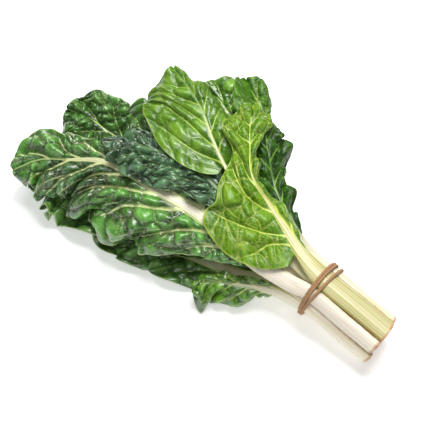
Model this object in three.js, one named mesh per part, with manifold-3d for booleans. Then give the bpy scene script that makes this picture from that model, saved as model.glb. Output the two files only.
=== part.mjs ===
// A bunch of white-stalked chard, tied round its stalks and lying on its side.
// Millimetres, +Z up. X runs along the bunch, from the leaf tips at -X to the cut stalk ends at +X.
// Each leaf is two meshes that fit together: the pale stalk, which runs on through the blade as its
// midrib, and the green blade, which has a slot for the rib. Leaves are laid down one after another,
// lowest first, and each is lifted clear of what already lies under it.
import * as THREE from "three";
import Module from "manifold-3d";

const wasm = await Module();
wasm.setup();

// ---- Driving dimensions ------------------------------------------------------------------------

const BUNDLE = {
  cutEnd: [180, -5, 27], // middle of the cut ends
  tie: [105, 0, 40], // middle of the bundle under the tie
  ringRadius: 22.4, // middle of the outer ring of stalks
};
const TWINE = {
  radius: 1.5,
  gap: 0.4, // above the stalks
  apart: [-4.4, 2.4, 5.2], // where each turn lies along the bundle, opposite the place where they meet
  meet: [-0.9, 0.2, 1.3], // and where they meet
  meetAt: 235, // degrees from the far side over the top
  touching: [-8, -4, 0, 4, 8], // where along the bundle the stalks' outline is taken
  steps: 44,
  sides: 6,
};
const CUT = {
  slant: 0.24, // mm along the bundle for each mm across: the knife went through aslant
  lean: [0.12, -0.46, 0.88], // towards the side that it left longer
  blend: 45, // mm of stalk over which the slant fades
};
const BLADE_THICKNESS = 0.9;
const RIB_GAP = 0.5; // between a rib's side and the edge of the blade's slot
const RIB_TIP = 0.9; // half width and half thickness of the rib's tip
const RIB_FLAT = { to: 0.6, over: 60 }; // share of its thickness that a rib comes down to, and mm to there
const BOW_ENDS = 60; // mm beyond the tie where a stalk has lost the bundle's bow
const SLOT_SHARE = 0.8; // share of the blade's length that the rib's slot reaches
const STALK_SIDES = 8;
const STALK_ROUND = { across: 0.7, through: 0.8 }; // powers of a rounded bar's section, 1 for an ellipse
const STALK_STEP = 17; // mm between the stalk's sections below the blade
const CUT_FLAT = 6; // mm of the lowest stalk's cut end that lie flat on the surface
const CLEARANCE = 6; // between the middles of two blades that lie on each other
const RIB_CLEARANCE = 3; // between a rib and the middle of a blade on it
const FLOOR_CLEARANCE = 0.4;
const LIFT_FREE = [25, 75]; // mm beyond the tie where lifting starts, and where it is full
const CELL = 4; // mm, spacing of the height map that leaves are laid on
const MAP = { x: [-280, 240], y: [-140, 190] };
const LEAST_WIDTH = 3; // of a half blade at its tip

// ---- Small helpers -----------------------------------------------------------------------------

const clamp = (x, low, high) => Math.min(high, Math.max(low, x));
const smooth = (x) => {
  const t = clamp(x, 0, 1);
  return t * t * (3 - 2 * t);
};
const mix = (a, b, t) => a + (b - a) * t;

// A Catmull-Rom curve through evenly spaced rows of numbers, at t from 0 to 1.
function along(rows, t) {
  const last = rows.length - 1;
  const at = clamp(t, 0, 1) * last;
  const i = Math.min(Math.floor(at), last - 1);
  const f = at - i;
  const before = rows[i - 1];
  const [p1, p2] = [rows[i], rows[i + 1]];
  const after = rows[i + 2];
  const one = (a, b, c, d) =>
    0.5 * (2 * b + (c - a) * f + (2 * a - 5 * b + 4 * c - d) * f * f + (3 * b - a - 3 * c + d) * f * f * f);
  if (typeof p1 === "number") return one(before ?? 2 * p1 - p2, p1, p2, after ?? 2 * p2 - p1);
  return p1.map((_, k) =>
    one(before ? before[k] : 2 * p1[k] - p2[k], p1[k], p2[k], after ? after[k] : 2 * p2[k] - p1[k]));
}

const vec = (a) => new THREE.Vector3(...a);

// ---- The leaves, lowest first ------------------------------------------------------------------
// place    where the stalk stands in the bundle: degrees round the ring from the near side over the
//          top, or [y, z] from the bundle's middle for the stalks inside the ring
// stalk    half width and half thickness
// narrow   share of that width from the tie to the end of the rib
// trim     mm that the cut end is short of the longest stalk's
// path     the middle of stalk and rib, from beyond the tie to the tip
// face     where the leaf's shown face points, from the tie to the tip
// blade    mm from the tie to where the blade begins
// near     widths of the near half, from its base to the tip
// far      widths of the far half
// lift     degrees that each half rises from the rib, at the blade's base, middle and tip
// curl     degrees that each half turns further by its margin, at base, middle and tip
// waves    folds of the margin along each half, with a second set of 1.7 times as many
// ruffle   height of those folds on the near and the far half, from the blade's base to its tip
// puff     how far the blade puffs up between two side veins
// veins    side veins in each half; cells across each half
// drawn    the near half's side veins, as their share of the blade at v = 0, 1/3, 2/3 and 1, where
//          they don't follow the rule
// colors   of the blade and of the stalk

const UP = [0, 0, 1];
const OUTWARD = "outward"; // away from the bundle's middle
const NARROW = [1, 0.95, 0.78, 0.55, 0.34, 0.14];
const DARK = 0x2c5a2b;
const CREAM = 0xe9e4cf;
const TWINE_BROWN = 0xa8825a;
const ROUGHNESS = { blade: 0.4, stalk: 0.45, twine: 0.9 };

const leaves = [
  {
    name: "under_near",
    place: 290, stalk: [10.0, 4.4], narrow: NARROW, trim: 2,
    path: [[67, -8, 22], [27, -18, 12], [-9, -25, 11], [-41, -33, 11], [-72, -42, 12],
      [-101, -51, 12], [-130, -60, 12]],
    face: [OUTWARD, UP, UP, UP, UP],
    blade: 60, near: [6, 24, 28, 28, 24, 18], far: [5, 14, 18, 18, 16, 12],
    lift: [[-5, 0, 0], [10, 15, 15]], curl: [[-20, -30, -30], [20, 30, 40]],
    waves: 3.5, ruffle: [[4, 10, 11], [4, 8, 9]], puff: 4, veins: 4, cells: 4, colors: [DARK, CREAM],
  },
  {
    name: "under_far",
    place: 231, stalk: [9.0, 4.4], narrow: NARROW, trim: 4,
    path: [[66, 16, 24], [30, 14, 16], [-40, 4, 13], [-81, -1, 13], [-121, -10, 15],
      [-168, -21, 18], [-201, -46, 24], [-207, -72, 28]],
    face: [OUTWARD, UP, UP, UP, UP],
    blade: 90, near: [6, 40, 58, 60, 50, 32], far: [6, 50, 62, 54, 40, 28],
    lift: [[5, 3, 0], [0, 0, 5]], curl: [[-10, -10, 10], [-30, -30, -10]],
    waves: 5.3, ruffle: [[4, 8, 9], [4, 9, 9]], puff: 5, veins: 5, cells: 4, colors: [DARK, CREAM],
  },
  {
    name: "near_low",
    place: 355, stalk: [9.8, 4.6], narrow: [1, 0.85, 0.5, 0.25, 0.15, 0.1], trim: 3,
    path: [[80, -22, 35], [58, -26, 31], [34, -38, 30], [9, -52, 29], [0, -66, 24]],
    face: [OUTWARD, [0, -0.9, 0.3], [0, -0.5, 1], [0, -0.3, 1]],
    blade: 42, near: [4, 18, 28, 26, 14], far: [4, 8, 8, 8, 6],
    lift: [[-10, -20, -20], [20, 20, 20]], curl: [[-60, -90, -90], [-20, -40, -60]],
    waves: 3, ruffle: [[3, 10, 11], [2, 5, 5]], puff: 4, veins: 4, cells: 4, colors: [0x4c8a35, CREAM],
  },
  {
    name: "back_left",
    place: [0, -9.2], stalk: [8.6, 3.9], narrow: NARROW, trim: 2,
    path: [[69, 6, 34], [35, 14, 34], [-32, 23, 38], [-94, 22, 42], [-137, 19, 50], [-168, 16, 60],
      [-196, 14, 67], [-218, 8, 70]],
    face: [UP, UP, UP, [0.1, -0.3, 1], [0.3, -0.6, 1]],
    blade: 110, near: [6, 40, 46, 42, 38, 30], far: [6, 50, 58, 46, 30, 22],
    lift: [[0, 10, 10], [-10, -5, 5]], curl: [[-20, -30, -30], [-40, -50, -40]],
    waves: 5, ruffle: [[3, 10, 11], [6, 11, 11]], puff: 6.5, veins: 6, cells: 5, colors: [DARK, CREAM],
  },
  {
    name: "back_top",
    place: [9.8, 0], stalk: [5.2, 3.7], narrow: NARROW, trim: 3,
    path: [[70, 13, 44], [30, 22, 50], [-16, 48, 64], [-45, 73, 76], [-66, 88, 86], [-89, 97, 92],
      [-112, 101, 92]],
    face: [UP, UP, [0, -0.3, 1], [0.2, -0.5, 1], [0.2, -0.5, 1]],
    blade: 120, near: [5, 24, 28, 24, 18], far: [5, 22, 26, 22, 16],
    lift: [[5, 5, 5], [0, 0, 0]], curl: [[-30, -50, -50], [-40, -60, -60]],
    waves: 3, ruffle: [[3, 6, 6], [3, 6, 6]], puff: 4, veins: 4, cells: 4, colors: [0x4d8a38, CREAM],
  },
  {
    name: "right_far",
    place: 186, stalk: [7.8, 4.4], narrow: NARROW, trim: 0,
    path: [[80, 26, 38], [58, 34, 45], [26, 51, 56], [-8, 77, 68], [-37, 101, 78], [-61, 123, 84],
      [-85, 140, 86]],
    face: [OUTWARD, [0, 1, 0.4], [0.2, -0.2, 1], [0.2, -0.6, 1], [0.2, -0.7, 0.8]],
    blade: 95, near: [5, 12, 20, 24, 18], far: [4, 8, 10, 16, 14],
    lift: [[10, 10, 10], [10, 10, 10]], curl: [[-40, -60, -40], [-30, -60, -60]],
    waves: 2, ruffle: [[2, 4, 4], [2, 4, 4]], puff: 3, veins: 4, cells: 4, colors: [0x5d9440, CREAM],
  },
  {
    name: "right_near",
    place: 144, stalk: [7.8, 4.4], narrow: [1, 0.75, 0.4, 0.25, 0.15, 0.1], trim: 1,
    path: [[83, 20, 56], [64, 25, 60], [46, 34, 63], [23, 46, 68], [1, 63, 73], [-19, 82, 76],
      [-35, 100, 77]],
    face: [OUTWARD, [0, 0.6, 1], [0.2, 0, 1], [0.2, -0.4, 1]],
    blade: 52, near: [4, 10, 16, 24, 22, 14], far: [4, 12, 14, 24, 20, 12],
    lift: [[20, 10, 10], [0, 0, 0]], curl: [[-40, -60, -40], [30, -40, -50]],
    waves: 3.5, ruffle: [[4, 8, 8], [4, 8, 8]], puff: 5, veins: 5, cells: 4, colors: [0x356b2e, CREAM],
  },
  {
    name: "main",
    place: 41, stalk: [7.4, 4.8], narrow: [1, 1.15, 0.95, 0.75, 0.5, 0.2], trim: 3,
    path: [[77, -18, 53], [36, -20, 58], [-25, -16, 68], [-77, -20, 74], [-113, -22, 77],
      [-145, -26, 74], [-172, -37, 66], [-206, -51, 54], [-224, -73, 46]],
    face: [OUTWARD, [0, -0.25, 1], [0, -0.3, 1], [0, -0.3, 1], [-0.3, -0.3, 1]],
    blade: 72, near: [4, 26, 62, 66, 56, 48, 38, 26], far: [6, 18, 20, 14, 14, 22, 30, 24],
    lift: [[0, -8, -10], [-25, -15, 10]], curl: [[-40, -90, -70], [-10, -20, -30]],
    waves: 5, ruffle: [[4, 12, 11], [3, 9, 9]],
    puff: 7, veins: 7, cells: 5, colors: [0x2f6a2c, 0xeeebdd],
    drawn: [[0.02, 0.1, 0.16, 0.2], [0.11, 0.24, 0.305, 0.35], [0.29, 0.42, 0.43, 0.45],
      [0.4, 0.55, 0.61, 0.64], [0.53, 0.66, 0.7, 0.72], [0.64, 0.75, 0.79, 0.81],
      [0.77, 0.85, 0.88, 0.9]],
  },
  {
    name: "across",
    place: [-3.9, 0], stalk: [7.5, 3.7], narrow: [1, 0.8, 0.45, 0.25, 0.15, 0.1], trim: 1,
    path: [[81, -1, 43], [51, 2, 49], [2, 10, 64], [-43, 18, 76], [-78, 17, 83], [-107, 10, 84],
      [-135, 3, 82], [-152, -10, 76]],
    face: [UP, UP, [0, -0.1, 1], UP, UP],
    blade: 80, near: [4, 12, 34, 43, 38, 30, 20], far: [5, 16, 24, 26, 20, 14, 10],
    lift: [[0, -5, -5], [0, 0, 0]], curl: [[-10, -25, -35], [-10, -20, -20]],
    waves: 5, ruffle: [[2, 6, 7], [2, 6, 6]], puff: 5.5, veins: 6, cells: 5, colors: [0x2a5430, CREAM],
    drawn: [[0.08, 0.25, 0.34, 0.4], [0.24, 0.43, 0.52, 0.57], [0.43, 0.61, 0.7, 0.75],
      [0.6, 0.74, 0.8, 0.84], [0.76, 0.85, 0.89, 0.92]],
  },
  {
    name: "upright",
    place: [0, 9.2], stalk: [8.6, 3.9], narrow: [1, 0.72, 0.36, 0.22, 0.14, 0.1], trim: 2,
    path: [[60, 6, 57], [14, 18, 72], [-17, 27, 83], [-41, 37, 92], [-62, 49, 100], [-85, 65, 105],
      [-111, 79, 108], [-145, 95, 104]],
    face: [UP, UP, [0.1, -0.2, 1], [0.3, -0.5, 1], [0.2, -0.5, 1]],
    blade: 150, near: [8, 48, 57, 50, 40, 26], far: [5, 18, 22, 16, 10, 8],
    lift: [[0, -5, 0], [-10, -10, -10]], curl: [[-10, -15, -20], [-20, -40, -40]],
    waves: 2, ruffle: [[1, 1.2, 1.5], [2, 3, 3]],
    puff: 4.5, veins: 5, cells: 5, colors: [0x5fa03a, 0xe3e6b8],
    drawn: [[0.02, 0.15, 0.3, 0.38], [0.16, 0.42, 0.6, 0.68], [0.36, 0.57, 0.7, 0.77],
      [0.55, 0.7, 0.8, 0.85], [0.73, 0.83, 0.9, 0.94]],
  },
  {
    name: "front",
    place: 92, stalk: [11.5, 4.6], narrow: [1, 0.52, 0.28, 0.16, 0.1, 0.08], trim: 0,
    path: [[74, 8, 69], [46, 19, 76], [19, 29, 84], [5, 32, 92], [-10, 42, 98], [-23, 59, 103],
      [-35, 75, 102], [-45, 92, 97], [-52, 104, 90]],
    face: [OUTWARD, [0, -0.1, 1], [0.2, -0.4, 1], [0.3, -0.5, 1], [0.3, -0.3, 1]],
    blade: 32, near: [12, 54, 62, 32, 17, 24, 22, 16], far: [5, 7, 7, 6, 6, 16, 22, 14],
    lift: [[0, 5, 0], [-30, -20, 0]], curl: [[-10, -20, -25], [-50, -60, -20]],
    waves: 3, ruffle: [[2, 4, 4], [2, 5, 5]], puff: 5, veins: 6, cells: 5, colors: [0x86b840, 0xdfe3a6],
    drawn: [[0.05, 0.12, 0.125, 0.14], [0.11, 0.2, 0.29, 0.35], [0.27, 0.41, 0.5, 0.55],
      [0.45, 0.56, 0.62, 0.65], [0.71, 0.74, 0.77, 0.79], [0.83, 0.86, 0.88, 0.9]],
  },
];

const FOLD = {
  uneven: { by: 0.9, rate: 0.43, side: 1.7 }, // how far and how often the folds' spacing changes
  second: { height: 0.45, waves: 1.7, phase: 2.3 }, // the second set, as shares of the first
  lean: 0.5, // mm that a fold leans along the leaf, per mm of height
  apart: 0.37, // of a wave between the near and the far half
  start: 4, // folds are full at one part in four of the blade
  end: 6, // and up to one part in six from its tip
};
const VEIN = {
  first: 0.3, // where the near half's first vein leaves the rib, in gaps between veins
  farther: 0.4, // and how much farther on the far half's does
  sweep: [0, 0.4, 0.64, 0.8], // its way forward from rib to margin, in gaps
  least: 0.02, // share of the blade between two veins
};
const PUFF = { peak: 0.8, start: 5 }; // power of v that sets its highest place; full at one part in five
const ROUND_FROM = 0.82; // share of the blade where its rounded tip begins
const SWEEP = [-0.5, 0.3, 0.62, 0.5, 0.3]; // how far forward the sheet runs outward, per width, base to tip
const SWEEP_POWER = 1.3;
const PHASE_STEP = 0.618; // of a wave between one leaf's folds and the next one's

// ---- Stalk paths and frames --------------------------------------------------------------------

const [END, TIE] = [BUNDLE.cutEnd, BUNDLE.tie];
const inward = vec(TIE).sub(vec(END)).normalize();
const lean = vec(CUT.lean).addScaledVector(inward, -vec(CUT.lean).dot(inward)).normalize();

// The stalk's place in the bundle's section as [y, z], from the bundle's middle.
function placeInBundle(leaf) {
  if (Array.isArray(leaf.place)) return leaf.place;
  const angle = THREE.MathUtils.degToRad(leaf.place);
  return [-BUNDLE.ringRadius * Math.cos(angle), BUNDLE.ringRadius * Math.sin(angle)];
}

const PATH_SAMPLES = 240;

function prepare(leaf) {
  const [dy, dz] = placeInBundle(leaf);
  const shifted = (p) => [p[0], p[1] + dy, p[2] + dz];
  const middle = END.map((v, k) => (v + TIE[k]) / 2);
  const cut = vec(END).addScaledVector(inward, leaf.trim).toArray();
  leaf.rows = [shifted(cut), shifted(middle), shifted(TIE), ...leaf.path];
  leaf.hints = leaf.face.map((f) => (f === OUTWARD ? [0, dy, dz].map((v) => v / Math.hypot(dy, dz)) : f));
  const at = (i) => vec(along(leaf.rows, i / PATH_SAMPLES));
  leaf.lengths = [0];
  for (let i = 1; i <= PATH_SAMPLES; i++)
    leaf.lengths.push(leaf.lengths[i - 1] + at(i).distanceTo(at(i - 1)));
  const tieIndex = Math.round((2 / (leaf.rows.length - 1)) * PATH_SAMPLES);
  leaf.tieAt = leaf.lengths[tieIndex];
  leaf.length = leaf.lengths[PATH_SAMPLES];
  leaf.bladeAt = leaf.tieAt + leaf.blade;
}

// The share of the path's parameter at a distance along it in mm.
function parameterAt(leaf, distance) {
  const d = clamp(distance, 0, leaf.length);
  let i = 1;
  while (i < PATH_SAMPLES && leaf.lengths[i] < d) i++;
  const [a, b] = [leaf.lengths[i - 1], leaf.lengths[i]];
  return (i - 1 + (d - a) / Math.max(b - a, 1e-9)) / PATH_SAMPLES;
}

// The rib's frame at a distance along the path: its middle, direction, upper face and near side.
function frameAt(leaf, distance) {
  const t = parameterAt(leaf, distance);
  const step = 0.5 / PATH_SAMPLES;
  const origin = vec(along(leaf.rows, t));
  const behind = vec(along(leaf.rows, Math.max(0, t - step)));
  const forward = vec(along(leaf.rows, Math.min(1, t + step))).sub(behind).normalize();
  const up = vec(along(leaf.hints, (distance - leaf.tieAt) / (leaf.length - leaf.tieAt)));
  up.addScaledVector(forward, -up.dot(forward)).normalize();
  return { origin, forward, up, near: up.clone().cross(forward) };
}

// Share of the blade's length at a distance along the path, below 0 on the bare stalk.
const bladeShare = (leaf, distance) => (distance - leaf.bladeAt) / (leaf.length - leaf.bladeAt);

// Half width, half thickness and bow of the stalk or rib. The bow is the curvature of its section, by
// which the stalks of the outer ring fit round the bundle.
function ribSize(leaf, distance) {
  const [width, thickness] = leaf.stalk;
  const ribEnd = mix(leaf.bladeAt, leaf.length, SLOT_SHARE);
  const share = along(leaf.narrow, (distance - leaf.tieAt) / (ribEnd - leaf.tieAt));
  const flat = mix(1, RIB_FLAT.to, smooth((distance - leaf.bladeAt) / RIB_FLAT.over));
  const bowed = 1 - smooth((distance - leaf.tieAt) / BOW_ENDS);
  return {
    halfWidth: Math.max(RIB_TIP, width * share),
    halfThickness: Math.max(RIB_TIP, thickness * Math.sqrt(share) * flat),
    bow: Array.isArray(leaf.place) ? 0 : bowed / BUNDLE.ringRadius,
  };
}

// ---- The blade's surface -----------------------------------------------------------------------

// Width of a half at share q of the blade, rounded off at the tip.
function halfWidthAt(widths, q) {
  const past = Math.max(0, (q - ROUND_FROM) / (1 - ROUND_FROM));
  return Math.max(LEAST_WIDTH, along(widths, q) * Math.sqrt(Math.max(0, 1 - past * past)));
}

const ARC_STEPS = 24;

// The lines of a half's side veins, each as shares of the blade at v = 0, 1/3, 2/3 and 1.
function veinLines(leaf, side) {
  if (side === 0 && leaf.drawn) return leaf.drawn;
  const gaps = leaf.veins + VEIN.sweep.at(-1);
  return Array.from({ length: leaf.veins }, (_, k) =>
    VEIN.sweep.map((sweep) => (k + VEIN.first + side * VEIN.farther + sweep) / gaps));
}

// 0 on a side vein and 1 midway between two, as a sine.
function betweenVeins(leaf, q, v, side) {
  const lines = veinLines(leaf, side).map((line) => along(line, v));
  const past = lines.filter((line) => line <= q).length;
  const from = past ? lines[past - 1] : lines[0] - 1 / leaf.veins;
  const to = past < lines.length ? lines[past] : lines.at(-1) + 1 / leaf.veins;
  return Math.sin((Math.PI * (q - from)) / Math.max(to - from, VEIN.least));
}

// The margin's folds: two sets of waves, unevenly spaced, that grow with v squared and lean forward.
function foldAt(leaf, q, v, side) {
  const phase = 2 * Math.PI * (leaf.phase + side * FOLD.apart);
  const turn = 2 * Math.PI * leaf.waves * q + phase;
  const { uneven, second } = FOLD;
  const first = turn + uneven.by * Math.sin(uneven.rate * turn + uneven.side * side);
  const size = along(leaf.ruffle[side], q) * v * v * smooth(q * FOLD.start) * smooth((1 - q) * FOLD.end);
  return {
    height: size * (Math.sin(first) + second.height * Math.sin(second.waves * first + second.phase * phase)),
    slide: -FOLD.lean * size * Math.cos(first),
  };
}

// A point of a half blade: q along the blade, v from the rib (0) to the margin (1), side 0 near or 1 far.
// Across the half the sheet starts at the lift angle and turns by the curl angle on its way out.
// Between side veins it puffs up, and its margin is folded.
function bladePoint(leaf, q, v, side) {
  const distance = mix(leaf.bladeAt, leaf.length, q);
  const frame = frameAt(leaf, distance);
  const width = halfWidthAt(side ? leaf.far : leaf.near, q);
  const lift = THREE.MathUtils.degToRad(along(leaf.lift[side], q));
  const curl = THREE.MathUtils.degToRad(along(leaf.curl[side], q));
  let [across, rise, angle] = [0, 0, lift];
  for (let k = 0; k < ARC_STEPS; k++) {
    const w = (v * (k + 0.5)) / ARC_STEPS;
    angle = lift + curl * w * w;
    across += (Math.cos(angle) * v) / ARC_STEPS;
    rise += (Math.sin(angle) * v) / ARC_STEPS;
  }
  angle = lift + curl * v * v;
  const outward = frame.near.clone().multiplyScalar(side ? -1 : 1);
  const normal = frame.up.clone().multiplyScalar(Math.cos(angle)).addScaledVector(outward, -Math.sin(angle));
  const tilted = 0.5 * BLADE_THICKNESS * Math.abs(Math.sin(lift));
  const slot = q < SLOT_SHARE ? ribSize(leaf, distance).halfWidth + RIB_GAP + tilted : 0;
  const puffed = betweenVeins(leaf, q, v, side) * Math.sin(Math.PI * v ** PUFF.peak) * smooth(q * PUFF.start);
  const fold = foldAt(leaf, q, v, side);
  return frame.origin
    .addScaledVector(outward, slot + width * across)
    .addScaledVector(frame.up, width * rise)
    .addScaledVector(frame.forward, width * along(SWEEP, q) * v ** SWEEP_POWER + fold.slide)
    .addScaledVector(normal, leaf.puff * puffed + fold.height);
}

// ---- Laying the leaves on each other -----------------------------------------------------------

// A height map of what lies on the floor so far, kept one clearance above it.
const columns = Math.round((MAP.x[1] - MAP.x[0]) / CELL) + 1;
const lines = Math.round((MAP.y[1] - MAP.y[0]) / CELL) + 1;
const heights = new Float64Array(columns * lines).fill(FLOOR_CLEARANCE);

function heightAt(x, y) {
  const i = clamp((x - MAP.x[0]) / CELL, 0, columns - 1.001);
  const j = clamp((y - MAP.y[0]) / CELL, 0, lines - 1.001);
  const [a, b] = [Math.floor(i), Math.floor(j)];
  const cell = (m, n) => heights[(b + n) * columns + a + m];
  return mix(mix(cell(0, 0), cell(1, 0), i - a), mix(cell(0, 1), cell(1, 1), i - a), j - b);
}

function raise(point, radius) {
  const [i, j] = [(point.x - MAP.x[0]) / CELL, (point.y - MAP.y[0]) / CELL];
  const reach = radius / CELL;
  for (let b = Math.ceil(j - reach); b <= j + reach; b++)
    for (let a = Math.ceil(i - reach); a <= i + reach; a++) {
      const drop = radius * radius - CELL * CELL * ((a - i) ** 2 + (b - j) ** 2);
      const at = b * columns + a;
      if (drop > 0) heights[at] = Math.max(heights[at], point.z + Math.sqrt(drop));
    }
}

const LIFT_ROWS = 48;
const LIFT_CELLS = 10; // across each half
const LIFT_PASSES = 10;
const ACROSS_RIB = [-1, -0.5, 0, 0.5, 1]; // of its half width
const RIB_TOP = 0.6; // share of its width that others lie on

// How far each part of a leaf is lifted to lie on what is under it, as rows from the tie to the tip.
// Column LIFT_CELLS is the rib, lower ones the near half and higher ones the far half.
function layDown(leaf) {
  const wide = 2 * LIFT_CELLS + 1;
  const points = [];
  const needed = [];
  for (let i = 0; i <= LIFT_ROWS; i++) {
    const distance = mix(leaf.tieAt, leaf.length, i / LIFT_ROWS);
    const q = bladeShare(leaf, distance);
    const freedom = smooth((distance - leaf.tieAt - LIFT_FREE[0]) / (LIFT_FREE[1] - LIFT_FREE[0]));
    const frame = frameAt(leaf, distance);
    const rib = ribSize(leaf, distance);
    let ribLift = 0;
    for (const s of ACROSS_RIB) {
      const p = frame.origin.clone().addScaledVector(frame.near, s * rib.halfWidth);
      ribLift = Math.max(ribLift, heightAt(p.x, p.y) + rib.halfThickness - p.z);
    }
    for (let j = 0; j < wide; j++) {
      const v = Math.abs(j - LIFT_CELLS) / LIFT_CELLS;
      const onBlade = q > 0 && v > 0;
      const p = onBlade ? bladePoint(leaf, q, v, j > LIFT_CELLS ? 1 : 0) : frame.origin.clone();
      const need = onBlade ? heightAt(p.x, p.y) - p.z : ribLift;
      points.push(p);
      needed.push(Math.max(0, need) * freedom);
    }
  }
  let lift = needed.slice();
  const cell = (i, j) => lift[clamp(i, 0, LIFT_ROWS) * wide + clamp(j, 0, wide - 1)];
  for (let pass = 0; pass < LIFT_PASSES; pass++)
    lift = lift.map((_, at) => {
      const [i, j] = [Math.floor(at / wide), at % wide];
      const round = (cell(i - 1, j) + cell(i + 1, j) + cell(i, j - 1) + cell(i, j + 1) + 2 * cell(i, j)) / 6;
      return i === 0 ? 0 : Math.max(needed[at], round);
    });
  leaf.liftGrid = lift;
  points.forEach((p, at) => {
    const [i, j] = [Math.floor(at / wide), at % wide];
    const distance = mix(leaf.tieAt, leaf.length, i / LIFT_ROWS);
    p.z += lift[at];
    if (bladeShare(leaf, distance) > 0 && j !== LIFT_CELLS) raise(p, CLEARANCE);
    if (j === LIFT_CELLS) {
      const rib = ribSize(leaf, distance);
      const frame = frameAt(leaf, distance);
      const radius = rib.halfThickness + RIB_CLEARANCE;
      for (const s of ACROSS_RIB)
        raise(p.clone().addScaledVector(frame.near, RIB_TOP * s * rib.halfWidth), radius);
    }
  });
}

// The lift at a distance along the path and at v across a half.
function liftAt(leaf, distance, v, side) {
  const wide = 2 * LIFT_CELLS + 1;
  const i = clamp((LIFT_ROWS * (distance - leaf.tieAt)) / (leaf.length - leaf.tieAt), 0, LIFT_ROWS - 1e-6);
  const j = clamp(LIFT_CELLS * (1 + (side ? v : -v)), 0, wide - 1.001);
  const [a, b] = [Math.floor(i), Math.floor(j)];
  const cell = (m, n) => leaf.liftGrid[(a + m) * wide + b + n];
  return mix(mix(cell(0, 0), cell(1, 0), i - a), mix(cell(0, 1), cell(1, 1), i - a), j - b);
}

// ---- Solids ------------------------------------------------------------------------------------

function geometryOf(points, triangles) {
  const geometry = new THREE.BufferGeometry();
  const places = points.flatMap((p) => [p.x, p.y, Math.max(0, p.z)]);
  geometry.setAttribute("position", new THREE.Float32BufferAttribute(places, 3));
  geometry.setIndex(triangles.flat());
  geometry.computeVertexNormals();
  return geometry;
}

// A thin sheet made solid. Both faces repeat the same triangles, and a wall closes every free edge.
function thicken(points, quads, thickness) {
  const triangles = quads.flatMap(([a, b, c, d]) => [[a, b, c], [a, c, d]]);
  const normals = points.map(() => new THREE.Vector3());
  for (const [a, b, c] of triangles) {
    const n = points[b].clone().sub(points[a]).cross(points[c].clone().sub(points[a]));
    for (const k of [a, b, c]) normals[k].add(n);
  }
  for (const normal of normals) normal.setLength(thickness / 2);
  const face = (sign) => points.map((p, k) => p.clone().addScaledVector(normals[k], sign));
  const under = points.length;
  const edges = new Map();
  for (const t of triangles)
    for (let k = 0; k < 3; k++) edges.set(t[k] + "," + t[(k + 1) % 3], [t[k], t[(k + 1) % 3]]);
  const walls = [];
  for (const [a, b] of edges.values())
    if (!edges.has(b + "," + a)) walls.push([b, a, a + under], [b, a + under, b + under]);
  const bottoms = triangles.map(([a, b, c]) => [c + under, b + under, a + under]);
  return geometryOf([...face(1), ...face(-1)], [...triangles, ...bottoms, ...walls]);
}

const ROWS_PER_VEIN = 4;

function bladeGeometry(leaf) {
  const rows = ROWS_PER_VEIN * leaf.veins;
  const cells = leaf.cells;
  const points = [];
  const index = new Map();
  const vertex = (side, i, j) => {
    const q = i / rows;
    const shared = j === 0 && q >= SLOT_SHARE;
    const key = shared ? "rib," + i : side + "," + i + "," + j;
    if (!index.has(key)) {
      const v = j / cells;
      const p = bladePoint(leaf, q, v, side);
      p.z += liftAt(leaf, mix(leaf.bladeAt, leaf.length, q), v, side);
      index.set(key, points.length);
      points.push(p);
    }
    return index.get(key);
  };
  const quads = [];
  for (let i = 0; i < rows; i++)
    for (let j = 0; j < cells; j++) {
      quads.push([vertex(0, i, j), vertex(0, i + 1, j), vertex(0, i + 1, j + 1), vertex(0, i, j + 1)]);
      quads.push([vertex(1, i, j + 1), vertex(1, i + 1, j + 1), vertex(1, i + 1, j), vertex(1, i, j)]);
    }
  return thicken(points, quads, BLADE_THICKNESS);
}

// The stalk's section at a distance along its path: a rounded bar, bowed round the bundle. Near the cut
// ends it is slanted, as the knife cut the bundle aslant.
function stalkSection(leaf, distance) {
  const frame = frameAt(leaf, distance);
  const size = ribSize(leaf, distance);
  const radius = 1 / Math.max(size.bow, 1e-5);
  frame.origin.z += liftAt(leaf, distance, 0, 0);
  return Array.from({ length: STALK_SIDES }, (_, k) => {
    const angle = (2 * Math.PI * (k + 0.5)) / STALK_SIDES;
    const s = Math.sign(Math.cos(angle)) * Math.abs(Math.cos(angle)) ** STALK_ROUND.across;
    const t = Math.sign(Math.sin(angle)) * Math.abs(Math.sin(angle)) ** STALK_ROUND.through;
    const turn = (s * size.halfWidth) / radius;
    const out = radius + t * size.halfThickness;
    const p = frame.origin.clone()
      .addScaledVector(frame.near, out * Math.sin(turn))
      .addScaledVector(frame.up, out * Math.cos(turn) - radius);
    const longer = CUT.slant * p.clone().sub(vec(END)).dot(lean) * Math.max(0, 1 - distance / CUT.blend);
    return p.addScaledVector(inward, -longer);
  });
}

// The bare stalk has sections one stalk step apart, and the rib has one at each of the blade's rows.
function stalkGeometry(leaf) {
  const rows = ROWS_PER_VEIN * leaf.veins;
  const bare = Math.round(leaf.bladeAt / STALK_STEP);
  const distances = Array.from({ length: bare }, (_, i) => (leaf.bladeAt * i) / bare);
  distances.splice(1, 0, CUT_FLAT);
  const inBlade = Math.ceil(SLOT_SHARE * rows - 0.5);
  for (let i = 0; i < inBlade; i++) distances.push(mix(leaf.bladeAt, leaf.length, i / rows));
  const points = distances.flatMap((distance) => stalkSection(leaf, distance));
  const n = STALK_SIDES;
  const triangles = [];
  for (let i = 0; i + 1 < distances.length; i++)
    for (let k = 0; k < n; k++) {
      const [a, b] = [i * n + k, i * n + ((k + 1) % n)];
      triangles.push([a, b, b + n], [a, b + n, a + n]);
    }
  const last = points.length - n;
  for (let k = 1; k + 1 < n; k++) triangles.push([0, k + 1, k], [last, last + k, last + k + 1]);
  return geometryOf(points, triangles);
}

// ---- The tie -----------------------------------------------------------------------------------

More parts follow.
